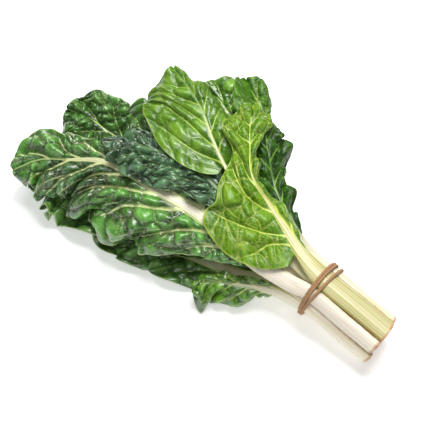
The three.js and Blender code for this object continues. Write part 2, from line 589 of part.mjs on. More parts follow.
// Three turns of twine drawn tight over the stalks. They meet low on the near side, where they are joined
// into one body, and stand apart on the far side.
function tieGeometry() {
  const far = new THREE.Vector3(0, 1, 0).addScaledVector(inward, -inward.y).normalize();
  const up = far.clone().cross(inward).normalize();
  const outline = [];
  for (const leaf of leaves)
    for (const offset of TWINE.touching)
      for (const p of stalkSection(leaf, leaf.tieAt + offset)) {
        const d = p.sub(vec(TIE));
        outline.push([d.dot(far), d.dot(up)]);
      }
  // The twine spans hollows, so at each angle it lies on the outline's hull.
  const support = (angle) => Math.max(...outline.map(([a, b]) => a * Math.cos(angle) + b * Math.sin(angle)));
  const radiusAt = (angle) => {
    let radius = Infinity;
    for (let degrees = -80; degrees <= 80; degrees += 2) {
      const tilt = THREE.MathUtils.degToRad(degrees);
      radius = Math.min(radius, support(angle + tilt) / Math.cos(tilt));
    }
    return radius + TWINE.gap + TWINE.radius;
  };
  const meetAt = THREE.MathUtils.degToRad(TWINE.meetAt);
  const { steps, sides } = TWINE;
  const turns = TWINE.apart.map((apart, turn) => {
    const middles = Array.from({ length: steps }, (_, i) => {
      const angle = (2 * Math.PI * i) / steps;
      const r = radiusAt(angle);
      return vec(TIE)
        .addScaledVector(far, r * Math.cos(angle))
        .addScaledVector(up, r * Math.sin(angle))
        .addScaledVector(inward, mix(TWINE.meet[turn], apart, (1 - Math.cos(angle - meetAt)) / 2));
    });
    const points = middles.flatMap((p, i) => {
      const outward = p.clone().sub(vec(TIE));
      const forward = middles[(i + 1) % steps].clone().sub(middles[(i + steps - 1) % steps]).normalize();
      outward.addScaledVector(forward, -outward.dot(forward)).normalize();
      const side = forward.clone().cross(outward);
      return Array.from({ length: sides }, (_, k) => {
        const around = (2 * Math.PI * (k + turn / TWINE.apart.length)) / sides;
        return p.clone()
          .addScaledVector(outward, TWINE.radius * Math.cos(around))
          .addScaledVector(side, TWINE.radius * Math.sin(around));
      });
    });
    const triangles = [];
    for (let i = 0; i < steps; i++)
      for (let k = 0; k < sides; k++) {
        const [a, b] = [i * sides + k, i * sides + ((k + 1) % sides)];
        const [c, d] = [((i + 1) % steps) * sides + k, ((i + 1) % steps) * sides + ((k + 1) % sides)];
        triangles.push([a, b, d], [a, d, c]);
      }
    return new wasm.Manifold(new wasm.Mesh({
      numProp: 3,
      vertProperties: new Float32Array(points.flatMap((p) => p.toArray())),
      triVerts: new Uint32Array(triangles.flat()),
    }));
  });
  const joined = wasm.Manifold.union(turns).getMesh();
  const geometry = new THREE.BufferGeometry();
  geometry.setAttribute("position", new THREE.BufferAttribute(new Float32Array(joined.vertProperties), 3));
  geometry.setIndex(new THREE.BufferAttribute(new Uint32Array(joined.triVerts), 1));
  geometry.computeVertexNormals();
  return geometry;
}

// ---- Assembly ----------------------------------------------------------------------------------

const bunch = new THREE.Group();

function addMesh(name, geometry, color, roughness) {
  const mesh = new THREE.Mesh(geometry, new THREE.MeshStandardMaterial({ color, roughness, metalness: 0 }));
  mesh.name = name;
  bunch.add(mesh);
}

leaves.forEach((leaf, k) => {
  leaf.phase = (k * PHASE_STEP) % 1;
  prepare(leaf);
  layDown(leaf);
  const [green, pale] = leaf.colors;
  addMesh("leaf_" + leaf.name + "_blade", bladeGeometry(leaf), green, ROUGHNESS.blade);
  addMesh("leaf_" + leaf.name + "_stalk", stalkGeometry(leaf), pale, ROUGHNESS.stalk);
});
addMesh("tie", tieGeometry(), TWINE_BROWN, ROUGHNESS.twine);

// The origin is the middle of the bunch's bounding box on the surface it lies on.
const box = new THREE.Box3().setFromObject(bunch);
bunch.position.set(-(box.min.x + box.max.x) / 2, -(box.min.y + box.max.y) / 2, -box.min.z);

export default bunch;
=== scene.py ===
from types import SimpleNamespace

import bpy
import numpy as np
from mathutils import Matrix, Vector


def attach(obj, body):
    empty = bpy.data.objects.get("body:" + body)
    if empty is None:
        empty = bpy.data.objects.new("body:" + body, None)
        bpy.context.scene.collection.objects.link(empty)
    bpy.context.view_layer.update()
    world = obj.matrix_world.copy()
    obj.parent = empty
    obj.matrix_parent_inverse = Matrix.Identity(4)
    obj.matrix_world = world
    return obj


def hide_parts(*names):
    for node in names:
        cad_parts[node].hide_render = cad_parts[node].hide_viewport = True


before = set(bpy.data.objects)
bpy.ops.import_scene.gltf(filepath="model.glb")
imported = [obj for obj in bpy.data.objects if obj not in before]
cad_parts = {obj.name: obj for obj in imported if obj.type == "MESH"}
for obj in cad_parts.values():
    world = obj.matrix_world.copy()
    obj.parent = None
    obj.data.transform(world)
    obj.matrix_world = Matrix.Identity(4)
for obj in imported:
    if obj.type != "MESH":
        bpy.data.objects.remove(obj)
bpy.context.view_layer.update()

# ---- The table and the light ----
# A white studio table under a large soft lamp overhead, with a small lamp at the far left and a weak
# broad one on the near side, so that the bunch throws a short soft shadow.

MM = 0.001
TABLE_HALF = 3.0
TABLE_WHITE = (0.86, 0.86, 0.86)
TABLE_GLOW = 0.5
SKY = (1.0, 1.0, 1.0)
SKY_STRENGTH = 0.12


def feed(tree, sockets, values):
    """Sets each of the sockets to its value, or links it to another node's output."""
    for key, value in values.items():
        socket = sockets[key]
        if isinstance(value, bpy.types.NodeSocket):
            tree.links.new(value, socket)
        else:
            socket.default_value = (*value, 1) if socket.type == "RGBA" else value


def node(tree, kind, inputs=(), out=0, **settings):
    """Adds a shader node and gives one of its outputs.

    Inputs come in the node's own order and settings by name, each a value or another node's output."""
    made = tree.nodes.new("ShaderNode" + kind)
    for name, value in settings.items():
        socket = name.replace("_", " ")
        if socket in made.inputs:
            feed(tree, made.inputs, {socket: value})
        else:
            setattr(made, name, value)
    feed(tree, made.inputs, dict(enumerate(inputs)))
    return made.outputs[out]


def new_material(name):
    """An empty node material, with its tree and its shader."""
    material = bpy.data.materials.new(name)
    material.use_nodes = True
    return material, material.node_tree, material.node_tree.nodes["Principled BSDF"]


def new_object(name, data):
    """An object of that name and data, in the scene."""
    made = bpy.data.objects.new(name, data)
    bpy.context.collection.objects.link(made)
    return made


corners = [(x * TABLE_HALF, y * TABLE_HALF, 0) for x, y in ((-1, -1), (1, -1), (1, 1), (-1, 1))]
table_mesh = bpy.data.meshes.new("table_top")
table_mesh.from_pydata(corners, [], [(0, 1, 2, 3)])
table_white, tree, shader = new_material("table_white")
feed(tree, shader.inputs, {"Base Color": TABLE_WHITE, "Roughness": 0.9, "Emission Color": TABLE_WHITE,
                           "Emission Strength": TABLE_GLOW})
table_mesh.materials.append(table_white)
table_top = new_object("table_top", table_mesh)

world = bpy.data.worlds.new("studio")
world.use_nodes = True
feed(world.node_tree, world.node_tree.nodes["Background"].inputs, {"Color": SKY, "Strength": SKY_STRENGTH})
bpy.context.scene.world = world
bpy.context.scene.view_settings.view_transform = "Standard"


def soft_lamp(name, place, size, watts, aim=(0, 0, 0.03)):
    """A square area lamp at a place, turned to face the point it aims at."""
    lamp = bpy.data.lights.new(name, "AREA")
    lamp.size = size
    lamp.energy = watts
    holder = new_object(name, lamp)
    holder.location = place
    holder.rotation_euler = (Vector(aim) - Vector(place)).to_track_quat("-Z", "Y").to_euler()


soft_lamp("key_lamp", (0.0, 0.35, 1.7), 0.9, 34)
soft_lamp("back_lamp", (-0.9, 0.6, 1.3), 0.5, 6)
soft_lamp("fill_lamp", (0.4, -1.0, 1.6), 0.9, 7)

# ---- The camera ----
# A camera 1.25 m away that looks down on the bunch at 55 degrees, from the near side of its cut ends. Its
# lens takes in a width of 0.43 m there.

AZIMUTH, ELEVATION = np.radians(37), np.radians(55)
DISTANCE = 1250 * MM
HALF_VIEW = 215 * MM  # half the width that it sees at that distance
SENSOR = 36.0
MIDDLE = np.array([-24.97, 29.84, 0])  # the box's middle, in the stalks' own layout, mm
LOOKED_AT = np.array([-28.36, 9.53, 40]) - MIDDLE

level = np.cos(ELEVATION)
back = np.array([np.sin(AZIMUTH) * level, -np.cos(AZIMUTH) * level, np.sin(ELEVATION)])
right = np.array([np.cos(AZIMUTH), np.sin(AZIMUTH), 0])
camera_data = bpy.data.cameras.new("camera")
camera_data.sensor_fit = "HORIZONTAL"
camera_data.sensor_width = SENSOR
camera_data.lens = SENSOR / 2 * DISTANCE / HALF_VIEW
camera = new_object("camera", camera_data)
turn = Matrix([right, np.cross(back, right), back]).transposed()
camera.matrix_world = Matrix.Translation(LOOKED_AT * MM + back * DISTANCE) @ turn.to_4x4()
bpy.context.scene.camera = camera

# ---- The lowest leaf on the near side ----
# A leaf is a pale fleshy stalk that runs on through the blade as its midrib, with a thin green blade that
# is puffed up between its side veins and waved at its margin. The leaves lie on one another, lowest first,
# and the twine holds seven of their stalks in a ring round the other four.
#
# place    the stalk's place under the twine: degrees round the ring, or mm far and up from its middle
# stalk    half width and half thickness under the twine, mm
# narrow   share of that width from the twine to the end of the rib
# trim     mm that the knife took off its end
# path     the middle of stalk and rib, from beyond the twine to the tip, mm
# face     where the upper side faces, from the twine to the tip, with None for away from the bundle
# blade    mm from the twine to where the blade begins
# near     width of the near half from the blade's foot to its tip, mm, and far that of the far half
# lift     degrees that each half, near and far, leaves the rib at, at its foot, middle and tip
# curl     degrees that each half turns further by its margin
# waves    folds along the margin, with ruffle as their height on each half, mm
# puff     mm that the blade is puffed up between its veins, with veins as their number on a half
# drawn    the near half's veins, each as its share of the blade at four steps from rib to margin

CUT_END = np.array([180, -5, 27])  # middle of the cut ends, mm
TIE = np.array([105, 0, 40.0])  # middle of the bundle under the twine
RING = 22.4  # radius of the middle of the outer ring of stalks
UP = [0, 0, 1]
PATH_SAMPLES = 240


def curve(rows, share):
    """Catmull-Rom curve through evenly spaced rows of numbers, at each share from 0 to 1 of its way."""
    rows = np.asarray(rows, float)
    rows = np.concatenate([[2 * rows[0] - rows[1]], rows, [2 * rows[-1] - rows[-2]]])
    last = len(rows) - 3
    at = np.clip(share, 0, 1) * last
    i = np.minimum(np.floor(at).astype(int), last - 1)
    f = at - i
    if rows.ndim > 1:
        f = f[..., None]
    a, b, c, d = rows[i], rows[i + 1], rows[i + 2], rows[i + 3]
    return 0.5 * (2 * b + (c - a) * f + (2 * a - 5 * b + 4 * c - d) * f**2 + (3 * b - a - 3 * c + d) * f**3)


def unit(vectors):
    """The same directions at length 1."""
    return vectors / np.linalg.norm(vectors, axis=-1, keepdims=True)


def square_to(forward, vectors):
    """The vectors less their share of a direction, at length 1."""
    return unit(vectors - np.sum(vectors * forward, axis=-1, keepdims=True) * forward)


def smooth(x):
    """0 below 0 and 1 above 1, with 3x^2 - 2x^3 between."""
    x = np.clip(x, 0, 1)
    return x * x * (3 - 2 * x)


INWARD = unit(TIE - CUT_END)


def stalk_line(leaf):
    """Adds the line of a leaf's stalk and midrib, from the cut end to the tip, and its lengths in mm."""
    place = leaf.place
    leaf.ringed = np.isscalar(place)
    if leaf.ringed:
        angle = np.radians(place)
        place = [-RING * np.cos(angle), RING * np.sin(angle)]
    offset = np.array([0, *place])
    ends = [CUT_END + INWARD * leaf.trim + offset, (CUT_END + TIE) / 2 + offset, TIE + offset]
    leaf.rows = np.array([*ends, *leaf.path])
    outward = offset / max(np.linalg.norm(offset), 1)
    leaf.hints = np.array([outward if side is None else side for side in leaf.face])
    samples = curve(leaf.rows, np.linspace(0, 1, PATH_SAMPLES + 1))
    steps = np.linalg.norm(np.diff(samples, axis=0), axis=1)
    leaf.lengths = np.concatenate([[0], np.cumsum(steps)])
    leaf.length = leaf.lengths[-1]
    leaf.tie_at = leaf.lengths[round(2 / (len(leaf.rows) - 1) * PATH_SAMPLES)]
    leaf.beyond = leaf.length - leaf.tie_at
    leaf.blade_at = leaf.tie_at + leaf.blade
    leaf.spread = leaf.length - leaf.blade_at


def rib_frame(leaf, distance):
    """Middle, direction, upper side and near side of the midrib at distances along its line."""
    share = np.interp(distance, leaf.lengths, np.linspace(0, 1, PATH_SAMPLES + 1))
    step = 0.5 / PATH_SAMPLES
    forward = unit(curve(leaf.rows, share + step) - curve(leaf.rows, share - step))
    up = square_to(forward, curve(leaf.hints, (distance - leaf.tie_at) / leaf.beyond))
    return curve(leaf.rows, share), forward, up, np.cross(up, forward)


RIB_TIP = 0.9  # half width and half thickness of a rib's tip, mm
RIB_SHARE = 0.8  # share of the blade's length that the rib reaches
BOW_ENDS = 60  # mm beyond the twine where a stalk has lost the bundle's bow


def rib_size(leaf, distance):
    """Half width, half thickness and bow of the stalk: it narrows from the twine to the rib's end."""
    width, thickness = leaf.stalk
    reach = leaf.blade_at + RIB_SHARE * leaf.spread - leaf.tie_at
    share = curve(leaf.narrow, (distance - leaf.tie_at) / reach)
    flatter = 1 - 0.4 * smooth((distance - leaf.blade_at) / 60)
    bow = (1 - smooth((distance - leaf.tie_at) / BOW_ENDS)) / RING if leaf.ringed else 0 * distance
    return (np.maximum(RIB_TIP, width * share),
            np.maximum(RIB_TIP, thickness * np.sqrt(np.maximum(share, 0)) * flatter), bow)


ROUND_FROM = 0.82  # share of the blade where its rounded tip begins
SWEEP = [-0.5, 0.3, 0.62, 0.5, 0.3]  # how far forward a side vein runs, per width of its half
SWEEP_POWER = 1.3
ARC_STEPS = 24
FOLD_LEAN = 0.5  # how far a fold leans along the leaf, per height


def half_width(widths, q):
    """Width of a half at shares q of the blade: a curve through its widths, rounded at the tip."""
    past = np.maximum(0, (q - ROUND_FROM) / (1 - ROUND_FROM))
    return np.maximum(2, curve(widths, q) * np.sqrt(np.maximum(0, 1 - past * past)))


def margin_folds(leaf, q, v, side):
    """Height and lean of the margin's folds: two unevenly spaced sets of waves that grow with v squared."""
    phase = 2 * np.pi * (leaf.phase + side * 0.37)
    turn = 2 * np.pi * leaf.waves * q + phase
    uneven = turn + 0.9 * np.sin(0.43 * turn + 1.7 * side)
    size = curve(leaf.ruffle[side], q) * smooth(4 * q) * smooth(6 * (1 - q))
    height = size * (np.sin(uneven) + 0.45 * np.sin(1.7 * uneven + 2.3 * phase))
    return height[:, None] * v * v, (-FOLD_LEAN * size * np.cos(uneven))[:, None] * v * v


def half_blade(leaf, q, v, side, slot=None):
    """Points and normals of half a blade, on a grid of q along it and v from the rib to the margin.

    The sheet starts at the slot, mm out from the rib's middle, at its lift angle, and turns by its curl
    angle times v squared."""
    distance = leaf.blade_at + q * leaf.spread
    origin, forward, up, near = (part[:, None] for part in rib_frame(leaf, distance))
    width = half_width(leaf.far if side else leaf.near, q)[:, None]
    lift, curl = (np.radians(curve(turn[side], q))[:, None] for turn in (leaf.lift, leaf.curl))
    w = v[:, None] * (np.arange(ARC_STEPS) + 0.5) / ARC_STEPS
    angles = lift[..., None] + curl[..., None] * w * w
    across, rise = v * np.cos(angles).mean(-1), v * np.sin(angles).mean(-1)
    angle = (lift + curl * v * v)[..., None]
    outward = -near if side else near
    if slot is None:
        slot = np.where(q < RIB_SHARE, rib_size(leaf, distance)[0] + 0.5, 0)
    normal = up * np.cos(angle) - outward * np.sin(angle)
    height, slide = margin_folds(leaf, q, v, side)
    points = (origin + outward * (slot[:, None] + width * across)[..., None] + up * (width * rise)[..., None]
              + forward * (width * curve(SWEEP, q)[:, None] * v**SWEEP_POWER + slide)[..., None]
              + normal * height[..., None])
    return points, normal


VEIN_SWEEP = np.array([0, 0.4, 0.64, 0.8])  # way forward of a side vein from rib to margin, per gap


def vein_lines(leaf, side):
    """A half's side veins, each as its share of the blade at v = 0, 1/3, 2/3 and 1."""
    if side == 0 and leaf.drawn:
        return np.array(leaf.drawn)
    start = np.arange(leaf.veins)[:, None] + 0.3 + 0.4 * side
    return (start + VEIN_SWEEP) / (leaf.veins + 0.8)


def between_veins(leaf, q, v, side):
    """Share of the way from one side vein to the next."""
    lines = curve(vein_lines(leaf, side).T, v)
    gap = 1 / leaf.veins
    lines = np.concatenate([lines[:, :1] - gap, lines, lines[:, -1:] + gap], axis=1)
    past = np.sum(lines[None, :, 1:-1] <= q[:, None, None], axis=-1)
    column = np.arange(len(v))[None]
    start, stop = lines[column, past], lines[column, past + 1]
    return np.clip((q[:, None] - start) / np.maximum(stop - start, 0.02), 0, 1)


def plain_puff(leaf, q, v, side):
    """Height of the puffed blade between its side veins, a sine each way."""
    puffed = np.sin(np.pi * between_veins(leaf, q, v, side)) * np.sin(np.pi * v**0.8)
    return leaf.puff * puffed * smooth(q * 5)[:, None]


CELL = 4.0  # mm, spacing of the height map that leaves are laid on
MAP_LOW = np.array([-280.0, -140.0])
MAP_COUNT = np.array([131, 84])
CLEARANCE = 6.0  # between the middles of two leaves that lie on each other, mm
LIFT_ROWS = 48
LIFT_CELLS = 10  # across each half
LIFT_PASSES = 10
LIFT_FREE = (25, 75)  # mm beyond the twine where lifting starts, and where it is full
BLADE_THICK = 0.8  # mm
heights = np.full(MAP_COUNT, BLADE_THICK / 2)


def height_under(points):
    """Height of what lies under each point, mixed from the four places of the map around it."""
    place = (points[..., :2] - MAP_LOW) / CELL
    i, j = np.moveaxis(np.clip(place, 0, MAP_COUNT - 1.001), -1, 0)
    a, b = np.floor(i).astype(int), np.floor(j).astype(int)
    low = heights[a, b] * (1 - (i - a)) + heights[a + 1, b] * (i - a)
    high = heights[a, b + 1] * (1 - (i - a)) + heights[a + 1, b + 1] * (i - a)
    return low * (1 - (j - b)) + high * (j - b)


def add_to_pile(points, radius):
    """Raises the height map to balls of that radius round the points."""
    points = points.reshape(-1, 3)
    place = (points[:, :2] - MAP_LOW) / CELL
    base = np.floor(place).astype(int)
    reach = int(radius // CELL) + 1
    for i in range(-reach, reach + 2):
        for j in range(-reach, reach + 2):
            cell = np.clip(base + [i, j], 0, MAP_COUNT - 1)
            drop = radius**2 - CELL**2 * np.sum((cell - place) ** 2, axis=1)
            hit = drop > 0
            np.maximum.at(heights, tuple(cell[hit].T), points[hit, 2] + np.sqrt(drop[hit]))


def lay_down(leaf):
    """Adds how far each part of a leaf is lifted by what is under it, smoothed by repeated averaging."""
    distance = leaf.tie_at + np.arange(LIFT_ROWS + 1) / LIFT_ROWS * leaf.beyond
    q = (distance - leaf.blade_at) / leaf.spread
    on = q > 0
    v = np.arange(1, LIFT_CELLS + 1) / LIFT_CELLS
    origin, _, _, near = rib_frame(leaf, distance)
    width, thickness, _ = rib_size(leaf, distance)
    points = np.repeat(origin[:, None], 2 * LIFT_CELLS + 1, axis=1)
    for side in (0, 1):
        surface, normal = half_blade(leaf, q[on], v, side)
        surface = surface + normal * plain_puff(leaf, q[on], v, side)[..., None]
        if side:
            points[on, LIFT_CELLS + 1:] = surface
        else:
            points[on, :LIFT_CELLS] = surface[:, ::-1]
    needed = height_under(points) - points[..., 2]
    ribs = [origin + near * (s * width)[:, None] for s in (-1, -0.5, 0, 0.5, 1)]
    under_rib = np.max([height_under(p) + thickness - p[:, 2] for p in ribs], axis=0)
    needed[:, LIFT_CELLS] = under_rib
    needed[~on] = under_rib[~on, None]
    free = smooth((distance - leaf.tie_at - LIFT_FREE[0]) / (LIFT_FREE[1] - LIFT_FREE[0]))
    needed = np.maximum(0, needed) * free[:, None]
    lift = needed
    for _ in range(LIFT_PASSES):
        wide = np.pad(lift, 1, mode="edge")
        mean = (wide[:-2, 1:-1] + wide[2:, 1:-1] + wide[1:-1, :-2] + wide[1:-1, 2:] + 2 * lift) / 6
        lift = np.maximum(needed, mean)
        lift[0] = 0
    leaf.lift_grid = lift
    points[..., 2] += lift
    add_to_pile(np.delete(points[on], LIFT_CELLS, axis=1), CLEARANCE)
    for s in (-0.6, -0.3, 0, 0.3, 0.6):
        for p, r in zip(points[:, LIFT_CELLS] + near * (s * width)[:, None], thickness + CLEARANCE / 2):
            add_to_pile(p, r)


def lift_at(leaf, distance, v, side):
    """The lift at distances along the rib and at v across a half, on a smooth curve each way."""
    rows = (distance - leaf.tie_at) / leaf.beyond
    return curve(curve(leaf.lift_grid, rows).T, 0.5 * (1 + (v if side else -v))).T


REPEAT = 64  # cells or hills after which their random numbers come again


def cells(u, w, size, seed):
    """Cells round points scattered one to a square of that size.

    Gives twice the distance to the cell's border, per size, and a random number for each cell."""
    scatter = np.random.default_rng(seed).random((REPEAT, REPEAT, 3))
    place = np.stack([u, w]) / size
    i, j = np.floor(place).astype(int)
    around = [(a, b) for a in (-1, 0, 1) for b in (-1, 0, 1)]
    draws = np.stack([scatter[(i + a) % REPEAT, (j + b) % REPEAT] for a, b in around])
    steps = np.stack([np.stack([i + a, j + b]) - place for a, b in around])
    steps = steps + np.moveaxis(draws[..., :2], -1, 1)
    far = np.sum(steps**2, axis=1)
    own = np.argmin(far, axis=0)[None]
    apart = np.linalg.norm(steps - np.take_along_axis(steps, own[:, None], axis=0), axis=1)
    border = (far - np.take_along_axis(far, own, axis=0)) / np.where(apart > 0, apart, 1)
    border = np.min(np.where(apart > 0, border, np.inf), axis=0)
    return border, np.take_along_axis(draws[..., 2], own, axis=0)[0]


def swell(u, w, size, seed):
    """Smooth random hills from -1 to 1, about one to a square of that size."""
    hills = np.random.default_rng(seed).random((REPEAT, REPEAT)) * 2 - 1
    i, j = np.floor(u / size).astype(int), np.floor(w / size).astype(int)
    f, g = smooth(u / size - i), smooth(w / size - j)
    i, j, a, b = i % REPEAT, j % REPEAT, (i + 1) % REPEAT, (j + 1) % REPEAT
    return (hills[i, j] * (1 - f) + hills[a, j] * f) * (1 - g) + (hills[i, b] * (1 - f) + hills[a, b] * f) * g


def bend(u, w, seed):
    """How far the blisters are pushed aside, in mm: by hills 26 mm apart and lower ones 10 mm apart."""
    return 5 * swell(u, w, 26, seed) + 2.5 * swell(u, w, 10, seed + 1)


def pillow(border):
    """A puffed cell: 1 - (1 - b)^2, from 0 at its border to 1 at 0.8 of a cell's size from it."""
    return 1 - (1 - np.clip(border / 0.8, 0, 1)) ** 2


FORKS = ((0.3, 1), (0.45, -1), (0.62, 1))  # v where a side vein forks, and the way the fork turns
FORK_WIDTH, FORK_STRENGTH = 0.3, 0.7  # of the main veins'
FORK_TUCK = 5  # mm less that a fork tucks the blade down


def side_veins(leaf, side):
    """A half's side veins as (q at v = 0, 1/3, 2/3 and 1, where it starts, half width at its start).

    Each main vein leaves the rib and forks on its way to the margin."""
    draw = np.random.default_rng(leaf.seed + 7 * side)
    veins = []
    for line in vein_lines(leaf, side):
        veins.append((line, 0.0, leaf.vein_width * (1.15 - 0.85 * line[0])))
        for fork, way in FORKS:
            fork += 0.1 * draw.random()
            spread = way / leaf.veins * (0.3 + 0.2 * draw.random())
            fanned = line + spread * smooth((np.arange(4) / 3 - fork + 0.25) / (1.1 - fork))
            veins.append((fanned, fork, leaf.vein_width * FORK_WIDTH))
    return veins


def vein_marks(leaf, q, v, side, width):
    """How much each point is on a vein, from 0 to 1, and its distance in mm to the nearest main vein."""
    mark = np.zeros((len(q), len(v)))
    nearest = np.full((len(q), len(v)), np.inf)
    forward = curve(SWEEP, q)[:, None] * SWEEP_POWER * v ** (SWEEP_POWER - 1)
    for line, start, wide in side_veins(leaf, side):
        at = curve(line, v)
        slope = np.gradient(at, v)[None] * leaf.spread / width[:, None] + forward
        apart = np.abs(q[:, None] - at[None]) * leaf.spread / np.sqrt(1 + slope**2)
        apart = np.hypot(apart, np.maximum(0, start - v) * width[:, None])
        half = np.maximum(0.3, wide * (1 - 0.8 * v))
        strength, less = (1, 0) if start == 0 else (FORK_STRENGTH, FORK_TUCK)
        mark = np.maximum(mark, np.exp(-(apart / half) ** 2) * strength * smooth((1.04 - v) * 3))
        nearest = np.minimum(nearest, apart + less)
    return mark, nearest


RAISED = {"vein": 0.6, "blister": 3.0, "small": 1.2}  # mm, for a leaf whose own shares of them are 1
HILLS = {"pleat": 25, "rolling": 27, "frill": 8, "bluish": 30}  # mm from one to the next
SMALLER = 0.45  # size of the small blisters, per large one
MIDWAY = 0.6  # of a blister's height, which is taken off so that the blade goes up and down alike
FAN = 0.4  # how far the blisters run forward, per way out from the rib
WEB = 0.09  # half width of the line round a blister, per size
PLEATS = 3  # from one side vein to the next
TUCK_REACH = 13  # mm from a side vein over which the blade is tucked down towards it
RIB_INSET = 0.6  # mm that the blade starts inside the rib's side
RIB_FLUSH = 0.15  # of the rib's half thickness that the blade rises beside it


def raised_half(leaf, side, n):
    """Half the blade on a grid of n rows: its points, its flat place in mm and the marks for its colours.

    The relief adds up puffs and pleats between the side veins, blisters of two sizes, long rolls, a tuck
    towards each vein, the veins themselves and a frill at the margin."""
    q = np.linspace(0, 1, n + 1)
    distance = leaf.blade_at + q * leaf.spread
    rib_width, rib_thickness, _ = rib_size(leaf, distance)
    fade = smooth((1 - q) / (1 - RIB_SHARE))
    widths = half_width(leaf.far if side else leaf.near, q)
    m = int(widths.max() / leaf.grain)
    v = np.linspace(0, 1, m + 1)
    points, normal = half_blade(leaf, q, v, side, np.maximum(0.25, (rib_width - RIB_INSET) * fade))
    out = v * widths[:, None]
    u, w = (distance - leaf.blade_at)[:, None] + out * FAN, out * (1 if side else -1)
    seed = leaf.seed + side
    bent = u + bend(u, w, seed), w + bend(u, w, seed + 50)
    border, tall = cells(*bent, leaf.blister_size, seed)
    dome = pillow(border) * (0.7 + 0.6 * tall)
    web = np.exp(-(border / WEB) ** 2)
    border, tall = cells(*bent, leaf.blister_size * SMALLER, seed + 9)
    small = pillow(border) * (0.4 + 1.2 * tall)
    vein, apart = vein_marks(leaf, q, v, side, widths)
    inside = smooth(out / 9) * smooth((1 - v) * 6 + 0.25) * smooth(q * 8)[:, None]
    between = 1 - (1 - np.clip(apart / TUCK_REACH, 0, 1)) ** 2.4
    share = between_veins(leaf, q, v, side)
    puffed = np.sin(np.pi * share) ** 0.75 * np.sin(np.pi * v**0.8) ** 0.75 * smooth(q * 5)[:, None]
    pleats = np.sin(2 * np.pi * PLEATS * share + 2 * swell(u, w, HILLS["pleat"], seed + 70)) * v * (1 - vein)
    relief = (leaf.puff * leaf.fullness * puffed
              + leaf.pleat * pleats
              + RAISED["blister"] * leaf.blister * (dome - MIDWAY) * inside * (1 - 0.7 * vein)
              + RAISED["small"] * leaf.fine * (small - MIDWAY) * inside
              + leaf.rolling * swell(u, w, HILLS["rolling"], seed + 3) * smooth(v * 3)
              + leaf.tuck * (between - 0.8) * inside
              + RAISED["vein"] * leaf.vein_width * vein
              + leaf.frill * swell(u, w * 0, HILLS["frill"], seed + 5) * v**5)
    flush = (RIB_FLUSH * rib_thickness * fade)[:, None] * np.exp(-(out / 7) ** 2)
    points = points + normal * relief[..., None] + rib_frame(leaf, distance)[2][:, None] * flush[..., None]
    points[..., 2] += lift_at(leaf, distance, v, side)
    mid = np.exp(-(out / (0.5 + 0.25 * leaf.vein_width * (1 - q[:, None]))) ** 2)
    mid *= 1 - leaf.lost * smooth((q[:, None] - 0.2) / 0.4)
    # Painted shade: a darker, bluer patch on the near half, between the two shares of the blade that are
    # given.
    start, stop = leaf.bluish
    ragged = q[:, None] + 0.05 * swell(u, w, HILLS["bluish"], seed + 20)
    bluish = smooth((ragged - start) / 0.06) * smooth((stop - ragged) / 0.08) * (side == 0)
    # Painted light and shade for the colour: high on the blister tops, low in the creases and near the side
    # veins.
    return {"points": points, "flat": np.stack([u, w], -1), "vein": np.maximum(vein, mid),
            "painted_shading": dome * (0.55 + 0.45 * between) * (0.8 + 0.2 * small), "web": leaf.web * web * inside,
            "bluish": bluish, "margin": np.broadcast_to(v, vein.shape)}


def closed_piece(name, points, quads, flat, marks):
    """A closed mesh from points and flat places in mm: marks become attributes, flat places UV in metres."""
    mesh = bpy.data.meshes.new(name)
    mesh.vertices.add(len(points))
    mesh.vertices.foreach_set("co", ((points - MIDDLE) * MM).ravel())
    mesh.loops.add(quads.size)
    mesh.loops.foreach_set("vertex_index", quads.ravel())
    mesh.polygons.add(len(quads))
    mesh.polygons.foreach_set("loop_start", np.arange(0, quads.size, 4))
    mesh.polygons.foreach_set("use_smooth", np.ones(len(quads), bool))
    for key, values in marks.items():
        mesh.attributes.new(key, "FLOAT", "POINT").data.foreach_set("value", values.astype(float).ravel())
    mesh.uv_layers.new(name="flat").data.foreach_set("uv", (flat[quads.ravel()] * MM).ravel())
    mesh.update(calc_edges=True)
    mesh.validate()
    return new_object(name, mesh)


LOWEST = 0.5  # mm over the table, for the middle of a blade
TABLE_GAP = 0.05


def blade_mesh(leaf):
    """The blade: its halves on one grid, with a skin half its thickness above and below, and a rim."""
    n = int(leaf.spread / leaf.grain)
    near, far = raised_half(leaf, 0, n), raised_half(leaf, 1, n)
    marks = {key: np.concatenate([near[key][:, ::-1], far[key]], axis=1) for key in near}
    grid, flat = marks.pop("points"), marks.pop("flat").reshape(-1, 2)
    grid[..., 2] = np.maximum(grid[..., 2], LOWEST)
    normal = unit(np.cross(np.gradient(grid, axis=1), np.gradient(grid, axis=0)) + [0, 0, 1e-9])
    points = np.concatenate([(grid + side * normal * BLADE_THICK / 2).reshape(-1, 3) for side in (1, -1)])
    points[:, 2] = np.maximum(points[:, 2], TABLE_GAP)
    n, m = grid.shape[:2]
    index = np.arange(n * m).reshape(n, m)
    face = np.stack([index[:-1, :-1], index[1:, :-1], index[1:, 1:], index[:-1, 1:]], -1).reshape(-1, 4)
    edge = np.concatenate([index[0, :-1], index[:-1, -1], index[-1, :0:-1], index[:0:-1, 0]])
    following = np.roll(edge, -1)
    rim = np.stack([edge, edge + n * m, following + n * m, following], -1)
    quads = np.concatenate([face[:, ::-1], face + n * m, rim])
    marks = {key: np.tile(values.ravel(), 2) for key, values in marks.items()}
    marks["under"] = np.repeat([0.0, 1.0], n * m)
    return closed_piece("blade_" + leaf.name, points, quads, np.concatenate([flat, flat]), marks)


